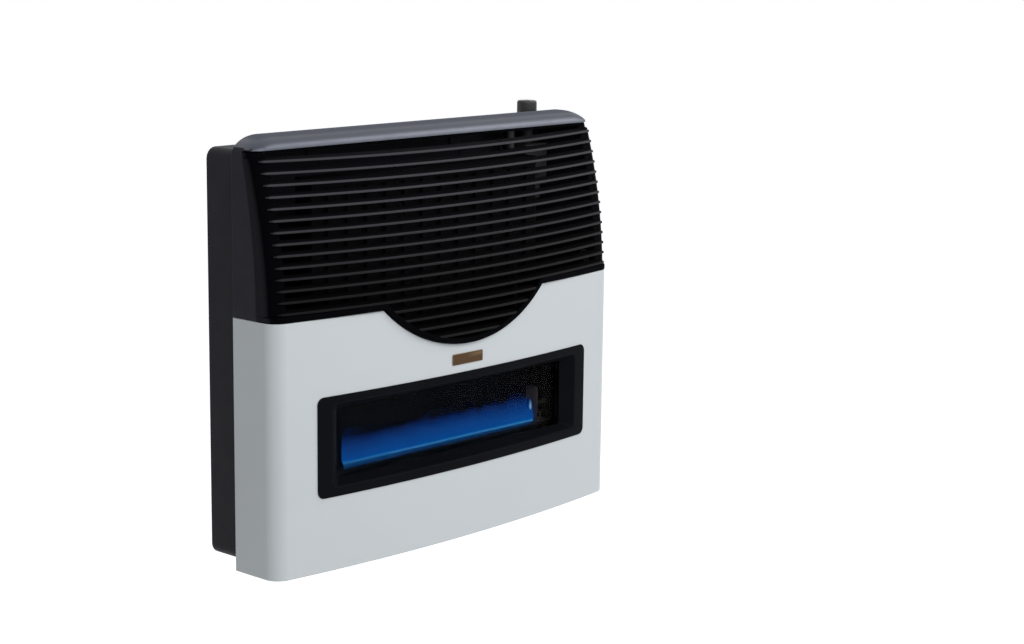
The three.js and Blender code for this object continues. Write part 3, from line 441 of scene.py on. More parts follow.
# metal
surface(
    "badge_bronze", (0.085, 0.046, 0.02), 0.45, metal=0.4, specular=0.12, tone=0.18, tone_scale=60,
    grain=500, bump=0.1, stretch=(0.05, 1, 1), edge=(0.3, 0.22, 0.13),
)
surface(
    "galvanised_steel", (0.42, 0.43, 0.45), 0.42, metal=0.9, tone=0.18, tone_scale=90, bump=0.05,
    rough_span=0.12,
)
surface("dark_enamel", (0.004, 0.004, 0.005), 0.6, specular=0.03, tone=0.25, tone_scale=25, bump=0.12)
# heat-darkened steel, darker still as a painted shade for the dark inside the casing
surface(
    "burnt_shaded_steel", (0.012, 0.011, 0.011), 0.6, specular=0.05, tone=0.3, tone_scale=60, bump=0.12,
    edge=(0.02, 0.016, 0.014),
)
surface(
    "stainless", (0.45, 0.42, 0.38), 0.34, metal=1.0, tone=0.12, tone_scale=120, grain=500, bump=0.08,
    stretch=(0.06, 1, 1),
)
surface("pilot_steel", (0.16, 0.105, 0.10), 0.6, metal=0.2, tone=0.2, tone_scale=160, bump=0.12)
surface(
    "cast_aluminium", (0.5, 0.51, 0.53), 0.5, metal=0.9, tone=0.1, tone_scale=80, grain=700, bump=0.3,
)
# a casting far darker than bare aluminium: a painted shade for the dark inside the casing
surface(
    "shaded_valve_casting", (0.05, 0.051, 0.054), 0.6, metal=0.2, specular=0.1, tone=0.15, tone_scale=80,
    grain=700, bump=0.3,
)
# copper darkened as a painted shade for the dark inside the casing
surface("shade_dark_copper", (0.035, 0.021, 0.012), 0.5, metal=0.3, specular=0.1, tone=0.2, tone_scale=120)
surface("brass_fitting", (0.6, 0.42, 0.15), 0.3, metal=1.0, tone=0.1, tone_scale=90)

# plastic, rubber, ceramic, fibre and print
surface(
    "knob_black", (0.012, 0.012, 0.014), 0.4, specular=0.4, tone=0.1, grain=1500, bump=0.1,
    edge=(0.035, 0.035, 0.038),
)
surface("rubber_black", (0.012, 0.012, 0.012), 0.8, specular=0.2, tone=0.15, bump=0.25)
# far darker than white ceramic: sooted brown, and darkened further as a painted shade for the dark it sits
# in
surface("ceramic_white", (0.09, 0.085, 0.075), 0.4, specular=0.15, tone=0.2, tone_scale=200, bump=0.04)
surface(
    "fibre_gasket", (0.03, 0.028, 0.026), 0.95, specular=0.03, tone=0.2, tone_scale=300, grain=700,
    bump=0.6,
)
surface("print_white", (0.72, 0.72, 0.7), 0.5, tone=0.03, bump=0.02)

# glass, flames, and a glow at the pilot that paints a highlight
glass_finish("window_glass", (0.44, 0.47, 0.51), (0.47, 0.5, 0.54))
FLAME_FOOT = 135.3
FLAME_FALL = 3
FLAME_BASE = FOOT + (FLAME_FOOT - FLAME_FALL / 2) * MM
PILOT_BASE = FOOT + 150 * MM
flame_finish(
    "flame_blue", FLAME_BASE, FLAME_BASE + 41 * MM, (0.0005, 0.115, 0.49), (0.004, 0.018, 0.15), 0.46
)
flame_finish(
    "flame_root", FLAME_BASE - 3 * MM, FLAME_BASE + 5 * MM, (0.06, 0.42, 0.85), (0.01, 0.2, 0.6), 0.8
)
# a glow that stands in for the bright glint on the pilot hood: a painted highlight
flame_finish("pilot_glint_glow", PILOT_BASE, PILOT_BASE + 20 * MM, (0.35, 0.75, 1.0), (0.05, 0.2, 0.6), 0.3)
flame_finish("flame_glow", FLAME_BASE, FLAME_BASE - 10 * MM, (0.006, 0.09, 0.30), (0.001, 0.03, 0.12), 0)

# ---------------- mesh tools

WELD = 0.002 * MM
BACK_CHAMFER = 0.4


def place(point):
    """A place in the frame, in metres, from x, depth and height in millimetres."""
    x, depth, height = point
    return Vector((x * MM, -depth * MM, FOOT + height * MM))


class Solid:
    """Vertices as (x, depth, height) in millimetres, and faces, gathered for one piece."""

    def __init__(self):
        self.verts = []
        self.faces = []

    def loft(self, rings, joined=False, capped=True):
        """Quads between closed rings of equal length; joined makes a loop of the rings themselves."""
        base, n, count = len(self.verts), len(rings[0]), len(rings)
        for ring in rings:
            self.verts.extend(ring)
        for i in range(count if joined else count - 1):
            here, there = base + i * n, base + ((i + 1) % count) * n
            for k in range(n):
                after = (k + 1) % n
                self.faces.append((here + k, here + after, there + after, there + k))
        if capped and not joined:
            self.faces.append(tuple(range(base, base + n)))
            self.faces.append(tuple(range(base + (count - 1) * n, base + count * n)))
        return self

    def lathe(self, profile, centre, sides):
        """A round upright body from (radius, height over the centre) pairs."""
        x, depth, height = centre
        turns = [2 * math.pi * k / sides for k in range(sides)]
        return self.loft([
            [(x + radius * math.cos(a), depth + radius * math.sin(a), height + up) for a in turns]
            for radius, up in profile
        ])

    def box(self, x0, x1, depth0, depth1, height0, height1):
        plan = ((x0, depth0), (x1, depth0), (x1, depth1), (x0, depth1))
        return self.loft([[(x, depth, z) for x, depth in plan] for z in (height0, height1)])


def even_normals(obj):
    """Shading led by the larger faces, with the creases kept."""
    normals = obj.modifiers.new("even_normals", "WEIGHTED_NORMAL")
    normals.keep_sharp = True


def finish_mesh(obj, sharp):
    """Merged vertices, outward faces, and smooth shading with creases over an angle."""
    mesh = obj.data
    bm = bmesh.new()
    bm.from_mesh(mesh)
    bmesh.ops.remove_doubles(bm, verts=bm.verts, dist=WELD)
    bmesh.ops.dissolve_degenerate(bm, edges=bm.edges, dist=WELD)
    bmesh.ops.recalc_face_normals(bm, faces=bm.faces)
    bm.to_mesh(mesh)
    bm.free()
    mesh.polygons.foreach_set("use_smooth", [True] * len(mesh.polygons))
    mesh.set_sharp_from_angle(angle=math.radians(sharp))
    even_normals(obj)


def piece(name, solid, finish, body="heater_body", node=None, sharp=40):
    """One visible piece on a body, in place of a CAD node if one is named."""
    mesh = bpy.data.meshes.new(name)
    mesh.from_pydata([place(v) for v in solid.verts], [], solid.faces)
    mesh.materials.append(FINISHES[finish])
    obj = added(name, mesh)
    finish_mesh(obj, sharp)
    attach(obj, body)
    if node:
        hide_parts(node)
    return obj


def arc(cx, cy, radius, start, stop, steps):
    """Points round a centre, with angles in degrees."""
    return [
        (cx + radius * math.cos(math.radians(a)), cy + radius * math.sin(math.radians(a)))
        for a in (start + (stop - start) * i / steps for i in range(steps + 1))
    ]


def rounded_rect(x0, y0, x1, y1, radius, corner=8, along=1):
    """Counter-clockwise outline; each straight side is split into a number of steps."""
    points = []
    corners = [(x1 - radius, y0 + radius, -90), (x1 - radius, y1 - radius, 0),
               (x0 + radius, y1 - radius, 90), (x0 + radius, y0 + radius, 180)]
    for i, (cx, cy, start) in enumerate(corners):
        turn = arc(cx, cy, radius, start, start + 90, corner)
        points.extend(turn)
        nx, ny, begin = corners[(i + 1) % 4]
        after = arc(nx, ny, radius, begin, begin, 1)[0]
        for k in range(1, along):
            share = k / along
            points.append((
                turn[-1][0] + (after[0] - turn[-1][0]) * share,
                turn[-1][1] + (after[1] - turn[-1][1]) * share,
            ))
    return points


def inset(loop, amount):
    """The loop moved to its left by an amount."""
    moved = []
    for i, (x, y) in enumerate(loop):
        before = Vector((x - loop[i - 1][0], y - loop[i - 1][1])).normalized()
        after = Vector((loop[(i + 1) % len(loop)][0] - x, loop[(i + 1) % len(loop)][1] - y)).normalized()
        first, second = Vector((-before.y, before.x)), Vector((-after.y, after.x))
        middle = (first + second).normalized()
        reach = amount / max(0.4, middle.dot(first))
        moved.append((x + middle.x * reach, y + middle.y * reach))
    return moved


def smoothstep(t):
    t = max(0.0, min(1.0, t))
    return t * t * (3 - 2 * t)


# ---------------- the bowed front in plan


class Plan:
    """A front bowed in plan, with rounded corners and straight sides that run back."""

    def __init__(self, depth, bow, half, corner):
        self.depth, self.bow, self.half = depth, bow, half
        self.flat = half - corner
        self.start = math.atan(2 * bow * self.flat / PANEL_X ** 2)
        self.radius = corner / (1 - math.sin(self.start))
        end = depth - bow * (self.flat / PANEL_X) ** 2
        self.centre = (half - self.radius, end - self.radius * math.cos(self.start))
        self.turn = self.radius * (math.pi / 2 - self.start)

    def at(self, u):
        """x, depth and the outward direction at a distance u from the middle."""
        side, u = (1, u) if u >= 0 else (-1, -u)
        if u <= self.flat:
            slope = 2 * self.bow * u / PANEL_X ** 2
            length = math.hypot(slope, 1)
            return side * u, self.depth - self.bow * (u / PANEL_X) ** 2, side * slope / length, 1 / length
        if u <= self.flat + self.turn:
            angle = self.start + (u - self.flat) / self.radius
            nx, nd = math.sin(angle), math.cos(angle)
            x, depth = self.centre[0] + self.radius * nx, self.centre[1] + self.radius * nd
            return side * x, depth, side * nx, nd
        return side * self.half, self.centre[1] - (u - self.flat - self.turn), side, 0.0

    def reach(self, depth):
        """The distance from the middle at which the side comes back to a depth."""
        return self.flat + self.turn + self.centre[1] - depth

    def cuts(self, flat_steps=24, turn_steps=10):
        half = [self.flat * i / (flat_steps // 2) for i in range(flat_steps // 2 + 1)]
        half += [self.flat + self.turn * i / turn_steps for i in range(1, turn_steps + 1)]
        return sorted({-u for u in half} | set(half))


def lean(height):
    rise = max(0.0, height - LEAN_START)
    return LEAN_RADIUS - math.sqrt(LEAN_RADIUS ** 2 - rise ** 2)


def seam(height):
    rise = max(0.0, height - JUNCTION)
    return SEAM_DEPTH - (SEAM_RADIUS - math.sqrt(SEAM_RADIUS ** 2 - rise ** 2))


def wrapped_sheet(outline, holes, thickness, roll, plan, back=None, levels=()):
    """A flat sheet with rolled edges, bent round a plan. Outline and holes are (u, height) loops."""
    loops = [outline] + [list(reversed(hole)) for hole in holes]
    steps = 4
    profile = [
        (roll * (1 - math.sin(a)), -roll * (1 - math.cos(a)))
        for a in (math.pi / 2 * k / steps for k in range(steps + 1))
    ]
    profile += [(0, -thickness + BACK_CHAMFER), (BACK_CHAMFER, -thickness)]
    bm = bmesh.new()
    grids = []
    for loop in loops:
        rings = []
        for inward, sunk in profile:
            rings.append([bm.verts.new((u, v, sunk)) for u, v in inset(loop, inward)])
        for first, second in zip(rings, rings[1:]):
            for k in range(len(loop)):
                after = (k + 1) % len(loop)
                bm.faces.new((first[k], first[after], second[after], second[k]))
        grids.append(rings)
    for end in (0, -1):
        ring_verts = [v for rings in grids for v in rings[end]]
        shapes = [[v.co for v in rings[end]] for rings in grids]
        for triangle in tessellate_polygon(shapes):
            corner = [ring_verts[i] for i in triangle]
            if len(set(corner)) == 3:
                bm.faces.new(corner)
    for axis, places in ((Vector((1, 0, 0)), plan.cuts()), (Vector((0, 1, 0)), levels)):
        for value in places:
            bmesh.ops.bisect_plane(
                bm, geom=bm.verts[:] + bm.edges[:] + bm.faces[:], dist=1e-4,
                plane_co=axis * value, plane_no=axis,
            )
    solid = Solid()
    bm.verts.ensure_lookup_table()
    bm.verts.index_update()
    for vert in bm.verts:
        u, v, w = vert.co
        x, depth, nx, nd = plan.at(u)
        solid.verts.append((x + nx * w, depth + nd * w - (back(v) if back else 0), v))
    solid.faces = [tuple(v.index for v in face.verts) for face in bm.faces]
    bm.free()
    return solid


def merged(*solids):
    whole = Solid()
    for solid in solids:
        base = len(whole.verts)
        whole.verts.extend(solid.verts)
        whole.faces.extend(tuple(base + i for i in face) for face in solid.faces)
    return whole


# ---------------- lower front panel

EDGE_ROLL = 1.1
DIP_SOFTENING = 3.5
FOOT_REACH = 13.8
FOOT_END = 70
TAB_INNER, TAB_OUTER = 318.5, 356.8
TAB_BACK, TAB_FRONT = 76, 94


def dip_arc(radius, top, turn_in, steps=36):
    """The round dip, from right to left, starting a little in from where it meets a height."""
    reach = math.degrees(math.acos((DIP_CENTRE - top) / radius)) - turn_in
    return arc(0, DIP_CENTRE, radius, -90 + reach, -90 - reach, steps)


def corner_curve(before, corner, after, steps=4):
    """The points between two ends of a curve that a corner pulls."""
    shares = [i / steps for i in range(1, steps)]
    return [
        tuple((1 - t) ** 2 * before[k] + 2 * t * (1 - t) * corner[k] + t * t * after[k] for k in (0, 1))
        for t in shares
    ]


def panel_skin():
    """The bowed sheet with its window, its dip and the dip's two softened corners."""
    plan = Plan(PANEL_FRONT, PANEL_BOW, PANEL_X, PANEL_CORNER)
    end, top = plan.reach(PANEL_BACK), JUNCTION
    chord = math.sqrt(DIP_RADIUS ** 2 - (DIP_CENTRE - top) ** 2)
    dip = dip_arc(DIP_RADIUS, top, 0.8)
    right, left = (chord + DIP_SOFTENING, top), (-chord - DIP_SOFTENING, top)
    outline = [(-end, 0), (end, 0), (end, top), right]
    outline += corner_curve(right, (chord, top), dip[0])
    outline += dip
    outline += corner_curve(dip[-1], (-chord, top), left)
    outline += [left, (-end, top)]
    window = rounded_rect(-WINDOW_X, WINDOW_LOW, WINDOW_X, WINDOW_HIGH, WINDOW_CORNER)
    return wrapped_sheet(outline, [window], SHEET, EDGE_ROLL, plan)


def panel_foot():
    """The foot turned in along the lower edge, with its two screw tabs."""
    plan = Plan(PANEL_FRONT - 0.2, PANEL_BOW, PANEL_X - 0.2, PANEL_CORNER - 0.2)
    end = FOOT_REACH - 0.6
    section = ((1, 0.05), (end, 0.05), (FOOT_REACH, 0.6), (FOOT_REACH, 1.0), (end, SHEET), (1, SHEET))
    rings = []
    for u in [-plan.reach(FOOT_END)] + plan.cuts() + [plan.reach(FOOT_END)]:
        x, depth, nx, nd = plan.at(u)
        rings.append([(x - nx * w, depth - nd * w, z) for w, z in section])
    foot = Solid().loft(rings)
    for side in (-1, 1):
        inner, outer = sorted((side * TAB_INNER, side * TAB_OUTER))
        foot.box(inner, outer, TAB_BACK, TAB_FRONT, 0.06, SHEET)
    return foot


def panel_flange():
    """The flange turned in at the back of both sides."""
    flange = Solid()
    for side in (-1, 1):
        inner, outer = sorted((side * (CASING_X + 0.8), side * (PANEL_X - 0.6)))
        flange.box(inner, outer, PANEL_BACK, PANEL_BACK + SHEET, 0.3, JUNCTION - 0.2)
    return flange


def panel_piece():
    solid = merged(panel_skin(), panel_foot(), panel_flange())
    piece("front_panel", solid, "panel_white", node="lower_front_panel")


panel_piece()

# ---------------- window bezel and plate

BEZEL_BACK = 150
VIEW_X, VIEW_LOW, VIEW_HIGH, VIEW_CORNER = 242, 129, 233, 4
BADGE_WIDER, BADGE_TALLER = 0.155, 0.13


def bezel_piece():
    """A ring of rounded rectangles: bowed in front, flat at the back, with a sloping inner frame."""
    face = PANEL_FRONT + 1.8

    def ring(half, low, high, radius, depth, bowed=True):
        return [
            (x, depth - (PANEL_BOW * (x / PANEL_X) ** 2 if bowed else 0), z)
            for x, z in rounded_rect(-half, low, half, high, radius, 8, 24)
        ]

    def outer(margin, radius, depth):
        return ring(BEZEL_X - margin, BEZEL_LOW + margin, BEZEL_HIGH - margin, radius, depth)

    def opening(margin, depth, bowed=True):
        low, high = WINDOW_LOW + margin, WINDOW_HIGH - margin
        return ring(WINDOW_X - margin, low, high, WINDOW_CORNER - margin, depth, bowed)

    rings = [
        outer(1.1, 10, face), outer(0.3, 10.8, face - 0.4), outer(0, 11, face - 1.0),
        outer(0, 11, face - 1.5), opening(0.5, face - 1.5), opening(0.5, face - 1.8),
        opening(0.5, BEZEL_BACK + 1, False), opening(1.5, BEZEL_BACK, False),
        ring(VIEW_X, VIEW_LOW, VIEW_HIGH, VIEW_CORNER, BEZEL_BACK, False),
        ring(VIEW_X - 1, VIEW_LOW + 1, VIEW_HIGH - 1, VIEW_CORNER, BEZEL_BACK + 1, False),
        ring(241.4, 129.8, 232.2, VIEW_CORNER, BEZEL_BACK + 2.5, False),
        ring(257, 123.5, 241, 8, face - 3.4), ring(258.6, 122.5, 242.2, 9, face - 1.6),
        ring(260.5, 121, 243.6, 10.4, face - 0.5), ring(262.5, 119.5, 245, 12, face),
    ]
    solid = Solid().loft(rings, joined=True)
    piece("window_frame", solid, "bezel_black", node="window_bezel", sharp=50)


bezel_piece()


def badge_piece():
    """A bare plate with a raised border, a little larger than its plain model."""
    (low_x, high_x), (back, front), (low, high) = span("badge_plate")
    wider, taller = BADGE_WIDER * (high_x - low_x), BADGE_TALLER * (high - low)
    low_x, high_x, low, high = low_x - wider, high_x + wider, low - taller, high + taller

    def ring(margin, depth, radius):
        return [
            (x, depth, z)
            for x, z in rounded_rect(low_x + margin, low + margin, high_x - margin, high - margin, radius, 5)
        ]

    rings = [
        ring(0.2, back, 1.3), ring(0, back + 0.2, 1.5), ring(0, front - 0.3, 1.5), ring(0.3, front, 1.3),
        ring(1.0, front, 1.0), ring(1.4, front - 0.35, 0.8),
    ]
    piece("badge", Solid().loft(rings), "badge_bronze", node="badge_plate")


badge_piece()

# ---------------- upper shell: gables and cap

SHELL_ROLL = 3.0
BACK_ROLL = 2.0
CASING_CORNER = 16.8
GABLE_TOP = SHELL_TOP - CAP_DOWN
CAP_STRAIGHT = PANEL_X - CAP_ACROSS
CAP_SIDE_ANGLE = 52


def arch_reach(height):
    """How far out the shell reaches at a height, seen from the front."""
    rise = min(1.0, max(0.0, height - GABLE_TOP) / CAP_DOWN)
    return CAP_STRAIGHT + CAP_ACROSS * math.sqrt(1 - rise * rise)


def cap_front(x):
    """The cap's front edge in plan, rounded at its ends."""
    past = max(0.0, x - PANEL_X + CAP_PLAN)
    return CAP_FRONT - CAP_PLAN + math.sqrt(CAP_PLAN ** 2 - past ** 2)


def shell_sections():
    """(arch point, inward direction, flange end, lip point, depths of roll start and front)."""
    inner_x, inner_top = CASING_X + 0.8, CASING_TOP + 0.8
    half = []
    for i in range(5):
        x = CAP_STRAIGHT * i / 4
        end = (x * (inner_x - CASING_CORNER) / CAP_STRAIGHT, inner_top)
        half.append(((x, SHELL_TOP), (0, -1), end, (x, CAP_LIP), CAP_FLAT, CAP_FRONT))

    # the cap's rounded end, down to where its lip meets the arch, and then the top of the gable
    lip_turn = math.acos((CAP_LIP - GABLE_TOP) / CAP_DOWN)
    turns = [(lip_turn * i / 18 - (0.01 if i == 18 else 0), True) for i in range(1, 19)]
    turns += [(lip_turn + 0.005 + (math.pi / 2 - lip_turn - 0.005) * i / 6, False) for i in range(7)]
    for turn, on_cap in turns:
        s, c = math.sin(turn), math.cos(turn)
        point = (CAP_STRAIGHT + CAP_ACROSS * s, GABLE_TOP + CAP_DOWN * c)
        normal = Vector((s / CAP_ACROSS, c / CAP_DOWN)).normalized()
        end = (inner_x - CASING_CORNER * (1 - s), inner_top - CASING_CORNER * (1 - c))
        if on_cap:
            start = CAP_FLAT + 8.4 * smoothstep(2 * turn / lip_turn - 1)
            lip = (point[0] - 0.03 * (point[0] - CAP_STRAIGHT), min(CAP_LIP, point[1] - 0.3))
            front = max(cap_front(lip[0]), start + 0.3)
        else:
            roll = 0.5 + (SHELL_ROLL - 0.5) * smoothstep((turn - lip_turn) / (math.pi / 2 - lip_turn))
            front = seam(point[1])
            start = front - roll
            lip = (point[0] - normal.x * roll, point[1] - normal.y * roll)
        half.append((point, (-normal.x, -normal.y), end, lip, start, front))
    steps = 14
    low = JUNCTION + 2 * GAP
    end_drop = GABLE_TOP - (inner_top - CASING_CORNER)
    for i in range(1, steps + 1):
        z = GABLE_TOP - (GABLE_TOP - low) * i / steps
        front = seam(z)
        end = (inner_x, z - end_drop * max(0.0, 1 - i / 3))
        half.append((
            (PANEL_X, z), (-1, 0), end, (PANEL_X - SHELL_ROLL, z), front - SHELL_ROLL, front
        ))
    return half


def shell_ring(section):
    """Round a section of the shell: the flange at the back, the skin, the front roll, and back inside."""
    point, inward, end, lip, start, front = section
    px, pz = point
    ring = [
        (end[0], PANEL_BACK, end[1]), (px + inward[0] * BACK_ROLL, PANEL_BACK, pz + inward[1] * BACK_ROLL),
    ]
    for k in range(1, 4):
        a = math.pi / 2 * k / 3
        w = BACK_ROLL * (1 - math.sin(a))
        ring.append((px + inward[0] * w, PANEL_BACK + BACK_ROLL * (1 - math.cos(a)), pz + inward[1] * w))

    def front_roll(x, z, face, steps=9):
        """A quarter turn from the skin to the lip."""
        points = []
        for k in range(steps + 1):
            out, share = math.sin(math.pi / 2 * k / steps), 1 - math.cos(math.pi / 2 * k / steps)
            points.append((x + (lip[0] - x) * share, start + (face - start) * out, z + (lip[1] - z) * share))
        return points

    ix, iz = px + inward[0] * SHEET, pz + inward[1] * SHEET
    ring += front_roll(px, pz, front)
    ring += reversed(front_roll(ix, iz, front - SHEET))
    ring += [(ix, PANEL_BACK + SHEET, iz), (end[0], PANEL_BACK + SHEET, end[1])]
    return ring


def shell_piece():
    """Gables and cap in one sheet, with a glossier finish on the cap."""
    half = [shell_ring(section) for section in shell_sections()]
    mirrored = [[(-x, depth, z) for x, depth, z in ring] for ring in reversed(half[1:])]
    solid = Solid().loft(mirrored + half)
    shell = piece("upper_cover", solid, "cover_black", node="upper_shell", sharp=50)
    shell.data.materials.append(FINISHES["cap_black"])
    cap_side = math.cos(math.radians(CAP_SIDE_ANGLE))
    for face in shell.data.polygons:
        high = face.center.z > FOOT + (CAP_LIP - 0.5) * MM
        if high and (face.normal.z > cap_side or face.normal.y < -cap_side):
            face.material_index = 1


shell_piece()

# ---------------- grille

BLADE_SIDE_GAP = 8
BLADE_TAPER = 7
TIE_X = 115
TIE_DROP = 30


def grille_rim():
    """The band along the pale panel's upper edge and round the dip."""
    plan = Plan(GRILLE_FRONT, GRILLE_BOW, PANEL_X, GRILLE_CORNER)
    low, high = JUNCTION + 2 * GAP, JUNCTION + RIM
    end = plan.reach(seam(low) + GAP)
    outer, inner = DIP_RADIUS - 0.5, DIP_RADIUS - RIM
    lower, upper = dip_arc(outer, low, 0), dip_arc(inner, high, 0)
    outline = [(-end, low)] + list(reversed(lower)) + [(end, low), (end, high)] + upper + [(-end, high)]
    return wrapped_sheet(outline, [], BLADE_DEPTH, 1.4, plan, back=lean)


def upright_back(height):
    """How far the uprights stand back: the grille's lean, and a step over the top blade."""
    return lean(height) + UPRIGHT_STEP * smoothstep((height - UPRIGHT_KNEE) / 1.2)


def grille_upright(side):
    """The strip between the blades' ends and the gable, set a little behind the blades."""
    plan = Plan(GRILLE_FRONT - UPRIGHT_RECESS, GRILLE_BOW, PANEL_X, GRILLE_CORNER)
    low, high = JUNCTION + RIM - 1, GRILLE_TOP - 0.4
    levels = [low + (UPRIGHT_KNEE - low) * i / 14 for i in range(15)]
    levels += [UPRIGHT_KNEE + 0.6, UPRIGHT_KNEE + 1.2, UPRIGHT_KNEE + 3.5, high]
    edge = [(PANEL_X - UPRIGHT, z) for z in reversed(levels)]
    outer = [(plan.reach(seam(z) + upright_back(z) + GAP), z) for z in levels]
    outline = [(side * u, z) for u, z in edge + outer]
    if side < 0:
        outline.reverse()
    solid = wrapped_sheet(
        outline, [], BLADE_DEPTH - UPRIGHT_RECESS, 1.2, plan, back=upright_back, levels=levels[1:-1]
    )
    limited = []
    for x, depth, z in solid.verts:
        reach = arch_reach(z) - (GAP if z > GABLE_TOP else 0)
        limited.append((max(-reach, min(reach, x)), depth, z))
    solid.verts = limited
    return solid


def sag(x, height):
    """How far a blade's middle hangs under its ends, less for the blades in the dip."""
    share = 0.2 + 0.8 * smoothstep((height - JUNCTION + 40) / 110)
    return BLADE_SAG * share * max(0.0, 1 - (x / PANEL_X) ** 2)


def blade(height, end, taper):
    """A louvre blade: a thin strip with a round nose that rises towards the wall."""
    plan = Plan(GRILLE_FRONT - lean(height), GRILLE_BOW, PANEL_X, GRILLE_CORNER)
    places = [-end] + [u for u in plan.cuts(28, 12) if abs(u) < end - 2] + [end]
    turns = [math.pi / 2 - math.pi * k / 8 for k in range(9)]
    rings = []
    for u in places:
        x, depth, nx, nd = plan.at(u)
        ease = 0.5 + 0.5 * smoothstep((end - abs(u)) / taper) if taper else 1.0
        nose, tail, sunk = BLADE_NOSE * ease, BLADE_TAIL * ease, 2 * (1 - ease)
        middle = height - 0.5 - sag(x, height)
        section = [(0.7 * nose * (1 - math.cos(a)), nose * math.sin(a)) for a in turns]
        section += [(BLADE_DEPTH - 0.4, -tail), (BLADE_DEPTH, -tail * 0.4)]
        section += [(BLADE_DEPTH, tail * 0.4), (BLADE_DEPTH - 0.4, tail)]
        rings.append([
            (x - nx * (b + sunk), depth - nd * (b + sunk), middle + BLADE_RISE * b + up) for b, up in section
        ])
    return Solid().loft(rings)


def grille_ties():
    """The bar behind the cap's lip, and two upright strips that hold the blades from behind."""
    ties = Solid()
    end = PANEL_X - UPRIGHT + 2
    ties.box(-end, end, CAP_FRONT - 8.5, CAP_FRONT - 0.5, GRILLE_TOP - 3, GRILLE_TOP - 0.5)
    foot = JUNCTION - TIE_DROP
    levels = [foot + (UPRIGHT_KNEE - foot) * i / 12 for i in range(13)]
    for x in (-TIE_X, TIE_X):
        rings = []
        for z in levels:
            front = GRILLE_FRONT - GRILLE_BOW * (x / PANEL_X) ** 2 - lean(z)
            rings.append([
                (x - 1, front - 9, z), (x + 1, front - 9, z),
                (x + 0.8, front - BLADE_DEPTH, z), (x - 0.8, front - BLADE_DEPTH, z),
            ])
        ties.loft(rings)
    return ties


def grille_pieces():
    blades = []
    for i in range(BLADES):
        height = BLADE_TOP - BLADE_PITCH * i
        if height > JUNCTION:
            blades.append(blade(height, PANEL_X - BLADE_SIDE_GAP, BLADE_TAPER))
        else:
            chord = math.sqrt((DIP_RADIUS - RIM / 2) ** 2 - (DIP_CENTRE - height) ** 2)
            blades.append(blade(height, chord, 0))
    piece("grille_blades", merged(*blades), "grille_black")
    frame_parts = merged(grille_rim(), grille_upright(1), grille_upright(-1), grille_ties())
    piece("grille_frame", frame_parts, "grille_frame_black", node="grille")


grille_pieces()

# ---------------- flame

BURNER_DEPTH = 108
FLAME_PITCH = 6.4
ROOT_DEPTH = BURNER_DEPTH + 4.6
PILOT_PLACE = (216, BURNER_DEPTH + 5, 158)

# x along the burner and the height of the flames there over their foot
FLAME_TOPS = [
    (-186, 46), (-183, 50), (-150, 48), (-100, 46), (-60, 43), (-38, 40.5), (-24, 42), (-8, 49), (40, 49.5),
    (110, 49), (170, 47), (200, 46), (214, 42), (221, 33), (224, 17),
]
FLAME_LEFT, FLAME_RIGHT = FLAME_TOPS[0][0], FLAME_TOPS[-1][0]
FLAME_LENGTH = FLAME_RIGHT - FLAME_LEFT
TONGUES = int(FLAME_LENGTH / FLAME_PITCH)


def flame_foot(x):
    """The height of the flames' foot, which falls a little to the right."""
    return FLAME_FOOT - FLAME_FALL * (x - FLAME_LEFT) / FLAME_LENGTH


def flame_top(x):
    """The height of the flames over their foot, higher over the right part of the burner."""
    for (x0, top0), (x1, top1) in zip(FLAME_TOPS, FLAME_TOPS[1:]):
        if x <= x1:
            return top0 + (top1 - top0) * smoothstep((x - x0) / (x1 - x0))
    return FLAME_TOPS[-1][1]


def flame_curtain():
    """One sheet of light along the burner, with a tongue over each port."""
    rings = []
    steps = TONGUES * 3
    for i in range(steps + 1):
        x = FLAME_LEFT + FLAME_LENGTH * i / steps
        tongue = 0.5 + 0.5 * math.cos(2 * math.pi * (x - FLAME_LEFT) / FLAME_PITCH)
        rise = flame_top(x) + 2 * tongue + random.uniform(-0.8, 0.8)
        wide = 3.4 + 0.9 * tongue
        outline = [(-1, 0), (1, 0), (1.1, 0.35), (0.8, 0.75), (0, 1), (-0.8, 0.75), (-1.1, 0.35)]
        foot = flame_foot(x)
        rings.append([(x, BURNER_DEPTH + wide * out, foot + rise * up) for out, up in outline])
    return Solid().loft(rings)


def flame_roots():
    """A small bright drop at the foot of each tongue."""
    roots = Solid()
    profile = [(0, -1.4), (1.6, -0.9), (1.9, 0.4), (1.4, 1.8), (0.6, 2.6), (0, 2.9)]
    for i in range(TONGUES + 1):
        x = FLAME_LEFT - 4 + FLAME_PITCH * i
        roots.lathe(profile, (x, ROOT_DEPTH, flame_foot(x)), sides=8)
    return roots


def flame_glow():
    """A faint strip of light on the burner's front, under the roots."""
    rings = []
    for i in range(13):
        x = FLAME_LEFT - 4 + FLAME_LENGTH * i / 12
        strip = ((4.3, -9), (4.9, -9), (4.9, -1.2), (4.3, -1.2))
        rings.append([(x, BURNER_DEPTH + out, flame_foot(x) + up) for out, up in strip])
    return Solid().loft(rings)


# a small glowing drop by the pilot hood: a painted highlight for the glint on it
def pilot_glint_glow():
    profile = [(0, -8), (1.4, -5), (2.0, 0), (1.4, 6), (0, 11)]
    return Solid().lathe(profile, PILOT_PLACE, sides=12)


def flame_pieces():
    for name, solid, finish in (
        ("flame_curtain", flame_curtain(), "flame_blue"), ("flame_roots", flame_roots(), "flame_root"),
        ("flame_glow", flame_glow(), "flame_glow"), ("pilot_glint_glow", pilot_glint_glow(), "pilot_glint_glow"),
    ):
        piece(name, solid, finish, sharp=60)


flame_pieces()

# ---------------- controls on top

KNOB_X, KNOB_DEPTH = 286, 35
KNOB_SIDES = 120
FLUTES = 24
FLUTE_DEPTH = 0.75
POINTER_HALF = 1
DIAL_RADIUS = 19.9
DIAL_TURN = 270
DIAL_MARKS = "012345"
MARK_SIZE = 5.2
MARK_THICKNESS = 0.08


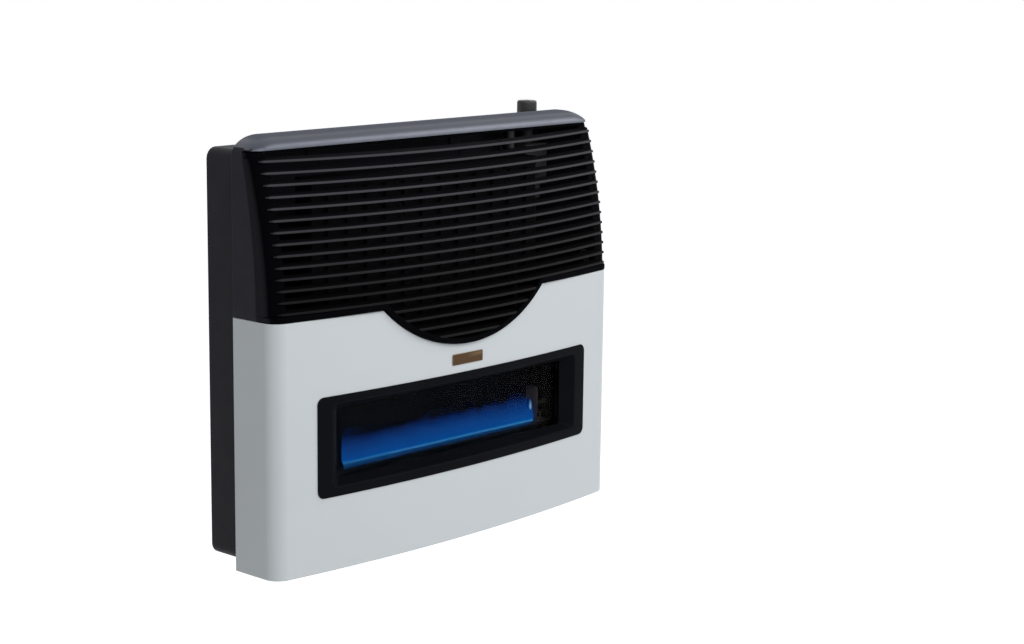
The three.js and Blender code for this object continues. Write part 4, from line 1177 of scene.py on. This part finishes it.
def knob_piece():
    """A fluted knob with a printed pointer."""
    (low_x, high_x), _, (low, high) = span("control_knob")
    radius = (high_x - low_x) / 2
    profile = [
        (radius - 4.5, low + 0.4), (radius - 0.5, low), (radius, low + 0.5), (radius, low + 3.4),
        (radius - 0.4, low + 4.2), (radius - 0.5, low + 5), (radius - 0.6, high - 5),
        (radius - 0.9, high - 3), (radius - 1.9, high - 1.5), (radius - 4, high - 1), (0, high - 0.9),
    ]
    rings = []
    for r, z in profile:
        grip = smoothstep((z - low - 4) / 3) * smoothstep((high - 1.2 - z) / 2)
        ring = []
        for k in range(KNOB_SIDES):
            angle = 2 * math.pi * k / KNOB_SIDES
            dent = FLUTE_DEPTH * grip * max(0.0, math.cos(FLUTES * angle)) ** 0.8
            reach = max(0.0, r - dent)
            ring.append((KNOB_X + reach * math.cos(angle), KNOB_DEPTH + reach * math.sin(angle), z))
        rings.append(ring)
    piece("knob", Solid().loft(rings), "knob_black", body="knob", node="control_knob", sharp=45)
    near, far = KNOB_DEPTH + 3, KNOB_DEPTH + radius - 5
    outline = rounded_rect(KNOB_X - POINTER_HALF, near, KNOB_X + POINTER_HALF, far, 0.9, 4)
    pointer = Solid().loft([[(x, d, z) for x, d in outline] for z in (high - 1.2, high - 0.2)])
    piece("knob_pointer", pointer, "print_white", body="knob")


def dial_numbers():
    """Plain numbers round the knob, from off to full over the spindle's range."""
    top = span("control_bezel")[2][1]
    for i, mark in enumerate(DIAL_MARKS):
        angle = math.radians(DIAL_TURN * (i / (len(DIAL_MARKS) - 1) - 0.5))
        data = bpy.data.curves.new(f"mark_{mark}", "FONT")
        data.body = mark
        data.size = MARK_SIZE * MM
        data.extrude = MARK_THICKNESS * MM
        data.align_x = "CENTER"
        data.align_y = "CENTER"
        data.resolution_u = 4
        data.materials.append(FINISHES["print_white"])
        label = added(f"dial_mark_{mark}", data)
        across, out = DIAL_RADIUS * math.sin(angle), DIAL_RADIUS * math.cos(angle)
        spot = place((KNOB_X + across, KNOB_DEPTH + out, top + 0.02))
        label.matrix_world = Matrix.Translation(spot) @ Matrix.Rotation(angle, 4, "Z")
        bpy.context.view_layer.update()
        made = added(f"dial_number_{mark}", bpy.data.meshes.new_from_object(label))
        made.matrix_world = label.matrix_world
        bpy.data.objects.remove(label)
        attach(made, "heater_body")


def button_piece():
    """A round push button with a domed head."""
    (low_x, high_x), (back, front), (low, high) = span("igniter_button")
    head = high - 3.6
    profile = [
        (0, low), (4.8, low), (5.2, low + 0.5), (5.2, head), (6.2, head), (6.4, head + 0.3),
        (6.4, head + 2.2), (6.1, head + 2.8), (5.4, head + 3.3), (4.6, head + 3.5), (3.6, head + 3.2),
        (0, head + 2.6),
    ]
    solid = Solid().lathe(profile, ((low_x + high_x) / 2, (back + front) / 2, 0), sides=48)
    piece("spark_button", solid, "knob_black", body="button", node="igniter_button")


knob_piece()
dial_numbers()
button_piece()

# ---------------- rear casing details

RIB_HEIGHTS = (150, 230, 310)
RIB_INNER, RIB_OUTER, RIB_HALF = 120, 310, 7
RING_HEIGHT = 420


def casing_details():
    """Pressed ribs and a ring on the back sheet."""
    solid = Solid()
    back = CASING_BACK
    for z in RIB_HEIGHTS:
        for side in (-1, 1):
            inner, outer = sorted((side * RIB_INNER, side * RIB_OUTER))
            outline = rounded_rect(inner, z - RIB_HALF, outer, z + RIB_HALF, RIB_HALF - 0.2, 6)
            layers = ((outline, 0.2), (inset(outline, 2.2), -1.1), (inset(outline, 3.4), -1.5))
            solid.loft([[(x, back + out, y) for x, y in loop] for loop, out in layers])
    section = [(76, 0.2), (77.5, -1.0), (79.5, -1.4), (82, -1.4), (84, -1.0), (85.5, 0.2)]
    turns = [2 * math.pi * k / 64 for k in range(64)]
    rings = [
        [(r * math.cos(a), back + out, RING_HEIGHT + r * math.sin(a)) for r, out in section] for a in turns
    ]
    solid.loft(rings, joined=True)
    piece("casing_pressings", solid, "casing_black")


casing_details()

# ---------------- CAD pieces that stay

NODE_WELD = 0.00001
NODE_SHARP = 32
NODE_BEVEL = 0.25
BEVEL_SHARP = 50


def smoothing_tree(angle):
    """Merged corners and creases kept over an angle, as a modifier."""
    tree = bpy.data.node_groups.new("smooth_by_angle", "GeometryNodeTree")
    tree.interface.new_socket("Geometry", in_out="INPUT", socket_type="NodeSocketGeometry")
    tree.interface.new_socket("Geometry", in_out="OUTPUT", socket_type="NodeSocketGeometry")
    start = tree.nodes.new("NodeGroupInput")
    stop = tree.nodes.new("NodeGroupOutput")
    weld = tree.nodes.new("GeometryNodeMergeByDistance")
    weld.inputs["Distance"].default_value = NODE_WELD
    faces = tree.nodes.new("GeometryNodeSetShadeSmooth")
    edges = tree.nodes.new("GeometryNodeSetShadeSmooth")
    edges.domain = "EDGE"
    faces.inputs["Shade Smooth"].default_value = True
    edges.inputs["Shade Smooth"].default_value = False
    bend = tree.nodes.new("GeometryNodeInputMeshEdgeAngle")
    sharp = tree.nodes.new("FunctionNodeCompare")
    sharp.data_type = "FLOAT"
    sharp.operation = "GREATER_THAN"
    sharp.inputs[1].default_value = angle
    tree.links.new(bend.outputs["Unsigned Angle"], sharp.inputs[0])
    tree.links.new(sharp.outputs[0], edges.inputs["Selection"])
    for before, after in ((start, weld), (weld, faces), (faces, edges), (edges, stop)):
        tree.links.new(before.outputs[0], after.inputs[0])
    return tree


# each node wears the finish named as its slot, apart from these, which are darker or coarser.
# The rail, the valve and its bracket, the burner, the pilot's hood, tube and electrode and the thermostat
# parts are darker than their own metal: the burner's steel partly from heat, and all of them as a painted
# shade for the dark inside the heater.
SLOT_OF = {row["node"]: row["material_slot"] for row in frame["record"]["subparts"]}
SPECIAL = {
    "pilot_bracket": "pilot_steel", "gas_valve_body": "shaded_valve_casting",
    **dict.fromkeys(("wall_rail", "valve_bracket"), "casing_black"),
    **dict.fromkeys(("burner_tube", "burner_bracket_left", "burner_bracket_right"), "burnt_shaded_steel"),
    **dict.fromkeys(("pilot_hood", "pilot_tube", "spark_electrode"), "burnt_shaded_steel"),
    **dict.fromkeys(("thermocouple", "thermostat_bulb", "thermostat_capillary"), "shade_dark_copper"),
}


def dress_nodes():
    """Finishes, smooth shading and small bevels on the nodes that are still shown."""
    smoothing = smoothing_tree(math.radians(NODE_SHARP))
    for name, obj in frame["nodes"].items():
        if obj.hide_render:
            continue
        obj.data.materials.clear()
        obj.data.materials.append(FINISHES[SPECIAL.get(name, SLOT_OF[name])])
        smooth = obj.modifiers.new("smooth_by_angle", "NODES")
        smooth.node_group = smoothing
        rounder = obj.modifiers.new("rounded_edges", "BEVEL")
        rounder.width = NODE_BEVEL * MM
        rounder.segments = 1
        rounder.limit_method = "ANGLE"
        rounder.angle_limit = math.radians(BEVEL_SHARP)
        even_normals(obj)


dress_nodes()
